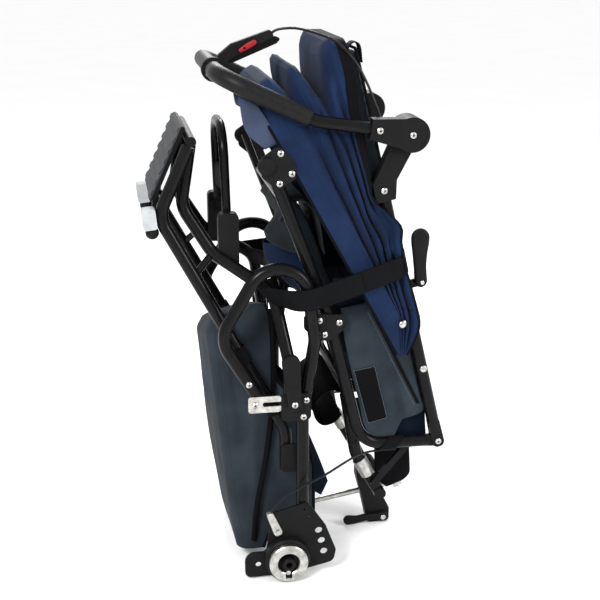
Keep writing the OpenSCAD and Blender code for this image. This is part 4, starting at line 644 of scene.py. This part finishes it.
drape_half = 0.14
drape_spots = [(-0.03, 0.722), (-0.014, 0.75), (0.012, 0.76), (0.036, 0.738), (0.05, 0.7), (0.057, 0.65)]
drape_rows = []
for x, z in through(drape_spots, 30):
    row = []
    for y in np.linspace(-drape_half, drape_half, 30):
        shift = crease((x, y, z), size=0.05, depth=0.003, seed=45.0)
        lift = crease((y, 0, x), size=0.05, depth=0.003, seed=47.0)
        row.append((x + shift, y, z + lift))
    drape_rows.append(row)
drape = cloth("seat_drape", drape_rows, charcoal, "seat")

apron_half = 0.108
apron_spots = [(0.101, 0.351), (0.07, 0.354), (0.045, 0.333), (0.044, 0.3), (0.06, 0.28), (0.084, 0.284),
               (0.1, 0.3)]
apron_line = through(apron_spots, 40)
apron_rows = []
for k, (x, z) in enumerate(apron_line):
    row = []
    for y in np.linspace(-apron_half, apron_half, 30):
        fold = crease((x, y, z * 0.5), size=0.05, depth=0.005, seed=30.0)
        fold *= math.sin(math.pi * k / (len(apron_line) - 1))
        row.append((x + fold, y, z + fold * 0.5))
    apron_rows.append(row)
apron = cloth("seat_apron", apron_rows, black_cloth, "seat")

flap_top, flap_tall, flap_y, flap_wave, flap_lift = 0.246, 0.112, -0.113, 0.004, 0.012
flap_first, flap_last, first_shift, last_shift, first_cut, last_cut = 0.168, 0.242, 0.004, 0.006, 0.024, 0.016
for ending, sign in sides:
    flap_rows = []
    for t in np.linspace(0, 1, 24):
        squeeze = max(0, t - 0.7) / 0.3
        first = flap_first + first_shift * t + first_cut * squeeze**2
        last = flap_last + last_shift * t - last_cut * squeeze**2
        row = []
        for x in np.linspace(first, last, 16):
            y = flap_y + flap_wave * math.sin(3 * t + 40 * x) * t
            z = flap_top - flap_tall * t + flap_lift * squeeze * (x - first) / (last - first)
            row.append((x, sign * y, z))
        flap_rows.append(row)
    flap = cloth("seat_flap_" + ending, flap_rows, black_cloth, "seat")

# Side panels: grey cloth sewn between the seat rail and the back tube on each side. A black piped seam
# runs down each one, and the lower half carries a stitched black patch of hook-and-loop tape.
panel_left = [(0.083, 0.548), (0.0855, 0.53), (0.0925, 0.48), (0.108, 0.41), (0.124, 0.345), (0.134, 0.3),
              (0.152, 0.271)]
panel_right = [(0.194, 0.573), (0.207, 0.53), (0.218, 0.485), (0.234, 0.415), (0.249, 0.355), (0.256, 0.322),
               (0.214, 0.305), (0.196, 0.271)]
panel_edges = [through(line, 60) for line in (panel_left, panel_right)]
panel_out, belly_depth, tuck_depth = 0.1655, 0.008, 0.011
panel_top, panel_tall, tube_front, tube_lean = 0.57, 0.3, 0.271, 0.2382
seam_start, seam_run, seam_proud = Vector((0.1455, 0.54)), Vector((0.0985, -0.199)), 0.002
thread_start, thread_proud = Vector((0.1375, 0.537)), 0.0009
patch_proud, patch_thread_proud, panel_cord = 0.0022, 0.0012, 0.0032
patch_left = (Vector((0.111, 0.418)), Vector((0.1415, 0.304)))
patch_right = (Vector((0.151, 0.4275)), Vector((0.1795, 0.315)))


def clamped(share):
    """A share kept between 0 and 1."""
    return min(1, max(0, share))


def panel_depth(x, z):
    """How far out a side panel stands at a place: a soft belly, a tuck beside the patch, small folds."""
    left = np.interp(-z, [-p[1] for p in panel_left], [p[0] for p in panel_left])
    right = tube_front - tube_lean * (z - back_foot.z)
    s = clamped((x - left) / (right - left))
    t = clamped((panel_top - z) / panel_tall)
    belly = belly_depth * math.sin(math.pi * s) * math.sin(math.pi * (0.1 + 0.85 * t))
    tuck = tuck_depth * hill(s, 0.64, 0.06) * hill(t, 0.78, 0.14)
    fold = crease((x * 1.6, 0, z * 0.6), size=0.05, depth=0.003, seed=33.0) * math.sin(math.pi * s)
    return panel_out + belly - tuck + fold


def panel_place(place, sign, proud=0.0):
    """A point on a side panel, or proud of it, on the left for sign 1."""
    x, z = place
    return Vector((x, -sign * (panel_depth(x, z) + proud), z))


def panel_rows_between(firsts, lasts, count, sign, proud=0.0):
    """Rows of points on a side panel from each first place to each last one."""
    return [
        [panel_place(first.lerp(last, s), sign, proud) for s in np.linspace(0, 1, count)]
        for first, last in zip(firsts, lasts)
    ]


for ending, sign in sides:
    rows = panel_rows_between(*panel_edges, 44, sign)
    panel = cloth("side_panel_" + ending, rows, grey_cloth, "seat")
    if ending == "left":
        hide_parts("side_panels")
    shares = np.linspace(0, 1, 36)
    seam = [panel_place(seam_start + seam_run * t, sign, seam_proud) for t in shares]
    piping("panel_seam_" + ending, seam, panel_cord, black_cloth, "seat")
    thread = [panel_place(thread_start + seam_run * t, sign, thread_proud) for t in shares]
    stitches("panel_stitches_" + ending, thread, "seat")
    shares = np.linspace(0, 1, 32)
    patch_edges = [[high.lerp(low, t) for t in shares] for high, low in (patch_left, patch_right)]
    rows = panel_rows_between(*patch_edges, 14, sign, patch_proud)
    patch = cloth("panel_patch_" + ending, rows, black_cloth, "seat", thick=0.002)
    rim = rows[0] + [row[-1] for row in rows] + rows[-1][::-1] + [row[0] for row in rows[::-1]]
    thread = [p + Vector((0, -sign * patch_thread_proud, 0)) for p in rim]
    stitches("patch_stitches_" + ending, thread, "seat")

# Seat corners: dark lining cloth sewn behind the ends of each side panel, its dark colour partly the
# lining's own and partly painted shade in the corners, and a band of webbing wrapped round the rail below it.
corner_y, wrap_y, wrap_z, wrap_radius, wrap_slant = 0.1508, 0.165, 0.257, 0.0142, 0.012
wrap_first, wrap_last = 0.172, 0.205
corner_cloths = (
    ("seat_top_cloth_", (0.12, 0.068), ((0.07, 0.606), (0.186, 0.606), (0.083, 0.538), (0.203, 0.545))),
    ("seat_low_cloth_", (0.08, 0.07), ((0.186, 0.322), (0.2625, 0.33), (0.186, 0.25), (0.268, 0.262))),
)
for ending, sign in sides:
    for name, flat, corners in corner_cloths:
        high_left, high_right, low_left, low_right = (Vector(c) for c in corners)
        rows = []
        for t in np.linspace(0, 1, 14):
            first, last = high_left.lerp(low_left, t), high_right.lerp(low_right, t)
            row = []
            for x, z in (first.lerp(last, u) for u in np.linspace(0, 1, 18)):
                row.append((x, -sign * (corner_y + crease((x, 0, z), size=0.03, depth=0.001, seed=37.0)), z))
            rows.append(row)
        corner = cloth(name + ending, rows, navy_lining_and_shade, "seat")
    turns = np.linspace(0, 2 * math.pi, 30, endpoint=False)
    rows = []
    for x in np.linspace(wrap_first, wrap_last, 7):
        rows.append([
            (x + wrap_slant * math.sin(a), -sign * (wrap_y + wrap_radius * math.cos(a)),
             wrap_z + wrap_radius * math.sin(a))
            for a in turns
        ])
    wrap = cloth("seat_wrap_" + ending, rows, webbing, "seat", ring=True, thick=0.0018)

# Hood: navy cloth sewn on two hoops, folded to a fan. The cloth stands out over the hoops and at its rear
# edge and falls in deep pleats between them. All the pleats run together at the tip below the pivot, and
# this tail of each cheek is fixed to the back.
hood_pivot = Vector((0.20073, 0, 0.52282))
hood_tip = Vector((0.206, 0, 0.456))
rear_angle, middle_angle, front_angle, lip_angle = 103.4, 113.0, 120.0, 123.3
hood_length, hood_tall, knee_up = 0.5315, 0.48, 0.02
cheek_half, cheek_taper, tip_tuck, pleat_depth = 0.2022, 0.0342, 0.006, 0.027
top_half, top_ridge, top_sag = 0.1575, 0.0135, 0.012
tube_cover_half, tube_cover_top, tube_cover_back = 0.18, 0.76, -0.022
tail_columns = 8
strap_height, strap_lean, roll_up, roll_out, dip_up, dip_in = 0.638, 0.3, 0.034, 0.013, 0.06, 0.001
rumple_share, rumple_spread = 0.34, 0.13
rear_edge = through([(0.21, 0.455), (0.231, 0.515), (0.219, 0.575), (0.194, 0.665), (0.194, 0.71),
                     (0.168, 0.74), (0.138, 0.766), (0.127, 0.81), (0.09, 0.944), (0.066, 1.05)], 60)


def fan(angle):
    """The way that a line of the hood points, by its angle in degrees from X towards Z."""
    return Vector((math.cos(math.radians(angle)), 0, math.sin(math.radians(angle))))


def hood_row(angle, ridge, reach, steps=44, arc=10, flat=22, corner=0.06, knee_share=0.13, edge_share=0.86):
    """One line of the hood: up the near cheek, over the top and down the far cheek; ridge 0 is in a pleat."""
    aim = fan(angle)
    top = hood_pivot + aim * reach
    knee = hood_pivot + aim * knee_up
    foot_shift = 0.006 - 0.0011 * (angle - 103)
    foot_rise = 0.0007 * abs(angle - 114) - 0.005
    foot = hood_tip + Vector((foot_shift, 0, foot_rise))
    rearward = clamped((middle_angle - angle) / (middle_angle - rear_angle)) ** 1.5
    forward = clamped((angle - front_angle) / (lip_angle - front_angle))
    half_top = top_half + top_ridge * ridge
    share = 1 - corner / reach
    near = []
    for k in range(steps):
        t = k / steps
        if t < knee_share:
            p = foot.lerp(knee, t / knee_share)
        else:
            p = knee.lerp(top, (t - knee_share) / (1 - knee_share) * share)
        p = p.lerp(foot.lerp(top, t * share), forward)
        edge = rear_edge[min(len(rear_edge) - 1, int(t * 56))]
        drawn = rearward if t < edge_share else rearward * (1 - t) / (1 - edge_share)
        p = p.lerp(Vector((edge[0], 0, edge[1])), drawn)
        rise = max(0, p.z - hood_pivot.z) / hood_tall
        half = cheek_half - cheek_taper * rise - tip_tuck * max(0, 1 - t / 0.08)
        half -= (1 - ridge) * pleat_depth * math.sin(math.pi * min(1, t)) ** 0.5
        if p.z < tube_cover_top and (back_foot - p).dot(back_left) > tube_cover_back:
            half = max(half, tube_cover_half)
        near.append(Vector((p.x, -half, p.z)))
    shoulder = near[-1]
    start = -shoulder.y
    for k in range(1, arc):
        a = math.pi / 2 * k / arc
        p = shoulder.lerp(top, math.sin(a))
        near.append(Vector((p.x, -(start + (half_top - start) * k / arc) + corner * (1 - math.cos(a)), p.z)))
    over = []
    for k in range(flat + 1):
        t = k / flat
        p = top - aim * top_sag * (1 - ridge) * math.sin(math.pi * t)
        over.append(Vector((p.x, (-half_top + corner) * (1 - 2 * t), p.z)))
    return near + over + mirrored(near[::-1])


def hood_soft(p, ridge, rearmost):
    """A point of the hood with its small folds, the rumples by the strap and the roll above the strap."""
    along = (p - hood_pivot).length / 0.53
    fold = crease((p.x * 1.6, p.y * 0.5, p.z * 0.45), size=0.03, depth=0.004, seed=5.0) * (1.05 - ridge)
    rumple = crease(p, size=0.022, depth=0.006, seed=9.0) * (1.2 - ridge)
    rumple *= hill(along, rumple_share, rumple_spread)
    above = p.z - strap_height - strap_lean * (p.x - 0.2)
    roll = roll_out * hill(above, roll_up, 0.009) - dip_in * hill(above, dip_up, 0.01)
    out = roll * rearmost - abs(fold + rumple) * 0.9
    sign = math.copysign(1, p.y) if abs(p.y) > 0.13 else 0
    return p.x + fold * 0.5, p.y + sign * out, p.z + fold * 0.3


def hood_sheet(name, first, last, ridges, reaches, steps):
    """A gore of the hood between two angles, with its ridge height and reach given at even steps."""
    rows = []
    for t in np.linspace(0, 1, steps + 1):
        ridge = np.interp(t, np.linspace(0, 1, len(ridges)), ridges)
        reach = np.interp(t, np.linspace(0, 1, len(reaches)), reaches)
        angle = first + (last - first) * t
        rearmost = clamped((110 - angle) / 4)
        rows.append([hood_soft(p, ridge, rearmost) for p in hood_row(angle, ridge, reach)])
    made = grid(name, [row[tail_columns - 1:1 - tail_columns] for row in rows], navy_cloth)
    return made, rows


hood_rear, rear_rows = hood_sheet(
    "hood_rear_cloth", rear_angle, middle_angle,
    [1, 1, 0.9, 0.3, 0.25, 0.85, 0.95, 0, 0.85, 0.8, 0.1, 0.85, 1],
    [0.553, 0.556, 0.553, 0.546, 0.532, 0.5, 0.466, 0.45, 0.455, 0.48, 0.51, 0.527, hood_length], 84)
hood_front, front_rows = hood_sheet(
    "hood_front_cloth", middle_angle, front_angle, [1, 0.8, 0.35, 0, 0.6, 0.95, 1, 1, 1],
    [hood_length, 0.526, 0.505, 0.48, 0.497, 0.522, hood_length, hood_length, hood_length], 56)
hood_lip, lip_rows = hood_sheet(
    "hood_valance", front_angle, lip_angle, [1, 1, 0.97], [hood_length, 0.527, 0.508], 16)
bend_out, bend_radius = 0.3, 0.1
for gore, parent, child, first, last in (
    (hood_rear, "back", "hood_middle", rear_angle, middle_angle),
    (hood_front, "hood_middle", "hood_fore", middle_angle, front_angle),
):
    middle = (first + last) / 2
    over = fan(middle + 90) * bend_radius * math.radians(last - first) / 2
    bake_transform(gore)
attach(hood_lip, "hood_fore")
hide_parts("hood_rear_panel")
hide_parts("hood_front_panel")

tape_narrow, tape_more, tape_proud, tape_from, tape_over = 0.004, 0.016, 0.0012, 0.78, 0.12
tape_rows = []
for across in (0.0, 0.25, 0.5, 0.75, 1.0):
    row = []
    for x, y, z in rear_rows[0]:
        wide = tape_narrow + tape_more * clamped((z - tape_from) / tape_over)
        row.append((x + across * wide, y + math.copysign(tape_proud, y), z))
    tape_rows.append(row)
tape = cloth("hood_rear_binding", tape_rows, black_cloth, "back", thick=0.002)

front_edge = lip_rows[-1]
front_cord = 0.003
between_tails = front_edge[tail_columns - 1:1 - tail_columns]
piping("hood_front_binding", between_tails, front_cord, black_cloth, "hood_fore")
for ending, part in (("left", slice(None, tail_columns)), ("right", slice(-tail_columns, None))):
    rows = [row[part] for row in rear_rows + front_rows[1:] + lip_rows[1:]]
    tail = cloth("hood_tail_" + ending, rows, navy_cloth, "back")
    piping("hood_tail_binding_" + ending, front_edge[part], front_cord, black_cloth, "back")

# Hood visor: the paler inner side of the hood's front, sewn to its edge and folded forward below the
# push bar. It stands out on the left and is tucked in on the right.
visor_y, visor_sag, right_share = -0.1705, 0.03, 0.2
pale_navy = cloth_material("pale_navy_lining", (0.034, 0.045, 0.078), sheen=0.03)
visor_inner = through([(-0.0345, 0.877), (-0.056, 0.915), (-0.077, 0.947)], 20)
visor_outer = through([(-0.064, 0.866), (-0.1, 0.902), (-0.112, 0.968)], 20)
visor_rows = []
for t in np.linspace(0, 1, 18):
    cheeks = []
    for sign, share in ((1, t), (-1, t * right_share)):
        cheek = []
        for inner, outer in zip(visor_inner, visor_outer):
            x, z = inner.lerp(outer, share)
            fold = crease((x, 0, z), size=0.03, depth=0.004, seed=41.0) * t
            cheek.append(Vector((x, sign * (visor_y + fold), z)))
        cheeks.append(cheek)
    first, last = cheeks[0][-1], cheeks[1][-1]
    over = []
    for s in np.linspace(0, 1, 26)[1:-1]:
        over.append(first.lerp(last, s) - Vector((0, 0, visor_sag * math.sin(math.pi * s) ** 0.5)))
    visor_rows.append(cheeks[0] + over + cheeks[1][::-1])
visor = cloth("hood_visor", visor_rows, pale_navy, "hood_fore")

# Buttons: a domed metal snap pressed from sheet, on each side of the hood's pivot, where it holds the
# cloth, and on each back tube.


def button(name, place, sign, radius, body):
    """A domed snap with a small dimple, facing out to one side."""
    dome_shares = [(1.0, 0.0), (1.0, 0.2), (0.9, 0.42), (0.62, 0.56), (0.4, 0.56), (0.32, 0.4), (0.0, 0.36)]
    x, y, z = place
    rows = []
    for r, h in dome_shares:
        rows.append([
            (x + radius * r * math.cos(a), y - sign * radius * h, z + radius * r * math.sin(a))
            for a in np.linspace(0, 2 * math.pi, 28, endpoint=False)
        ])
    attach(closed(grid(name, rows, bright, ring=True, thick=0)), body)


snap_radius = 0.0075
for ending, sign in sides:
    button("hood_button_" + ending, (0.1985, -sign * 0.2035, 0.5215), sign, snap_radius, "back")
    button("back_button_" + ending, (0.2505, -sign * 0.1776, 0.4167), sign, snap_radius, "back")

# Hand levers: moulded blades of the quick release, the recline and the parking brake, each on its pin.
# They swell towards the end that the fingers meet, and all their edges are rounded. The parking one is red.


def swelled(c):
    """The cosine or sine of a turn, pushed out so that a circle becomes a rounded bar."""
    return math.copysign(abs(c) ** 0.6, c)


def blade(name, node, body, material, spots, y, half_thick, blunt=0.0002):
    """A moulded lever along spots of x, z and half width, with round ends, in a plane across Y."""
    line = np.array([tuple(p) for p in through(spots, 90)])
    gone = np.concatenate([[0], np.cumsum(np.linalg.norm(np.diff(line[:, :2], axis=0), axis=1))])
    rows = []
    for (x, z, half_wide), (dx, dz), s in zip(line, np.gradient(line[:, :2], axis=0), gone):
        short = 1 - min(1, (s + blunt) / half_wide, (gone[-1] - s + blunt) / half_wide)
        full = math.sqrt(1 - short**2)
        side = Vector((-dz, 0, dx)).normalized() * half_wide * full
        out = Vector((0, half_thick * (0.4 + 0.6 * full), 0))
        rows.append([
            Vector((x, y, z)) + side * swelled(math.cos(a)) + out * swelled(math.sin(a))
            for a in np.linspace(0, 2 * math.pi, 28, endpoint=False)
        ])
    made = closed(grid(name, rows, material, ring=True, thick=0))
    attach(made, body)
    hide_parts(node)


blade("quick_release_blade", "qr_lever", "quick_release", moulding,
      [(0.2225, 0.016, 0.0105), (0.212, 0.016, 0.0115), (0.198, 0.0175, 0.0075), (0.175, 0.0165, 0.0075),
       (0.155, 0.0125, 0.0085), (0.135, 0.0125, 0.0105), (0.1245, 0.0135, 0.011)],
      y=-0.0213, half_thick=0.006)
button("quick_release_pin", (0.21207, -0.0271, 0.016), sign=1, radius=0.006, body="quick_release")
blade("recline_blade", "recline_lever", "recline", moulding,
      [(0.2445, 0.584, 0.0115), (0.2435, 0.595, 0.0125), (0.241, 0.625, 0.0125), (0.24, 0.65, 0.0145),
       (0.24, 0.678, 0.018), (0.24, 0.702, 0.0175)],
      y=-0.165, half_thick=0.007)
button("recline_pin", (0.2445, -0.1718, 0.5945), sign=1, radius=0.0045, body="recline")
red = finish_material("red_moulding", (0.25, 0.008, 0.014), 0.35, mottle=0.1, scale=80.0, gloss=0.2)
blade("parking_blade", "parking_tab", "parking", red,
      [(-0.1, 1.0375, 0.004), (-0.083, 1.047, 0.0055), (-0.0675, 1.056, 0.005)],
      y=-0.0893, half_thick=0.004)

# Fold strap: black webbing round the whole package, in two lengths that lap on each side of the hood.
# One wraps the front hangers and lies over the side hoops; the other goes round the back tubes.
strap_spots = [(0.2125, 0.0, 0.641), (0.2125, -0.145, 0.641), (0.211, -0.172, 0.6405),
               (0.2035, -0.192, 0.6385), (0.19, -0.207, 0.635), (0.168, -0.2135, 0.6292),
               (0.1, -0.2135, 0.607), (0.04, -0.2135, 0.588), (0.01, -0.2135, 0.5815),
               (-0.02, -0.206, 0.581), (-0.045, -0.187, 0.5825), (-0.062, -0.172, 0.584),
               (-0.0685, -0.158, 0.5845), (-0.064, -0.143, 0.584), (-0.048, -0.13, 0.582),
               (-0.034, -0.112, 0.581), (-0.028, -0.08, 0.581), (-0.027, 0.0, 0.581)]
half_loop = through(strap_spots, 110)
strap_joint, strap_lap, strap_half_wide, strap_over = 0.12, 0.07, 0.0205, 0.0028
side_slant, hanger_slant, hanger_reach = 0.23, 0.9, 0.05


def strap_length(name, line, inset, body):
    """A length of the strap along a line on its left half, turned round to the right half."""
    line = [Vector((p.x, min(p.y + inset, 0), p.z)) for p in line]
    rows = []
    for p in line + mirrored(line[-2::-1]):
        on_hanger = p.x < 0 and abs(p.y) > 0.1
        slant = hanger_slant * clamped(-p.x / hanger_reach) if on_hanger else side_slant
        rows.append([
            (p.x - w * slant, p.y, p.z + w) for w in np.linspace(-strap_half_wide, strap_half_wide, 9)
        ])
    return cloth(name, rows, webbing, body, thick=0.0024)


front_line = [p for p in half_loop if p.x < strap_joint]
rear_line = [p for p in reversed(half_loop) if p.x > strap_joint - strap_lap]
front_strap = strap_length("fold_strap_webbing", front_line, 0.0, "chassis")
rear_strap = strap_length("fold_strap_end", rear_line, strap_over, "back")
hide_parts("fold_strap")

# Stage: a plain white floor, soft light from the sides and above, and the camera where the photo
# was taken from, a little above the middle of the buggy's left side.
floor_half = 60
white_floor = finish_material("white_floor", (0.97, 0.97, 0.97), 0.85, mottle=0.01, scale=2.0,
                              bump=0.0, gloss=0.2)
floor_corners = [(x * floor_half, y * floor_half, 0) for x, y in ((-1, -1), (1, -1), (1, 1), (-1, 1))]
floor = add_mesh("floor", floor_corners, [(0, 1, 2, 3)], white_floor)
floor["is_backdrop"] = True

world = bpy.data.worlds.new("white_room")
world.use_nodes = True
world.node_tree.nodes["Background"].inputs["Color"].default_value = (1, 1, 1, 1)
world.node_tree.nodes["Background"].inputs["Strength"].default_value = 1.0
scene.world = world

target = Vector((0.031, 0, 0.518))


def soft_light(name, place, size, power):
    """A square lamp that faces the buggy."""
    lamp = bpy.data.lights.new(name, "AREA")
    lamp.size = size
    lamp.energy = power
    made = bpy.data.objects.new(name, lamp)
    made.location = place
    made.rotation_euler = (target - Vector(place)).to_track_quat("-Z", "Y").to_euler()
    scene.collection.objects.link(made)


soft_light("key", (-1.6, -2.2, 2.4), size=0.8, power=90)
soft_light("fill", (2.2, -1.8, 1.6), size=0.9, power=40)
soft_light("back", (0.3, 2.2, 2.2), size=1.2, power=40)

camera = bpy.data.cameras.new("photo_camera")
camera.lens = 72
camera.sensor_width = 36
eye = bpy.data.objects.new("photo_camera", camera)
azimuth, elevation, distance = math.radians(-9.6), math.radians(17.0), 2.5
eye.location = target + distance * Vector((
    math.sin(azimuth) * math.cos(elevation), -math.cos(azimuth) * math.cos(elevation), math.sin(elevation)))
eye.rotation_euler = (target - eye.location).to_track_quat("-Z", "Y").to_euler()
scene.collection.objects.link(eye)
scene.camera = eye
scene.view_settings.view_transform = "Standard"

low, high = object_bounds()
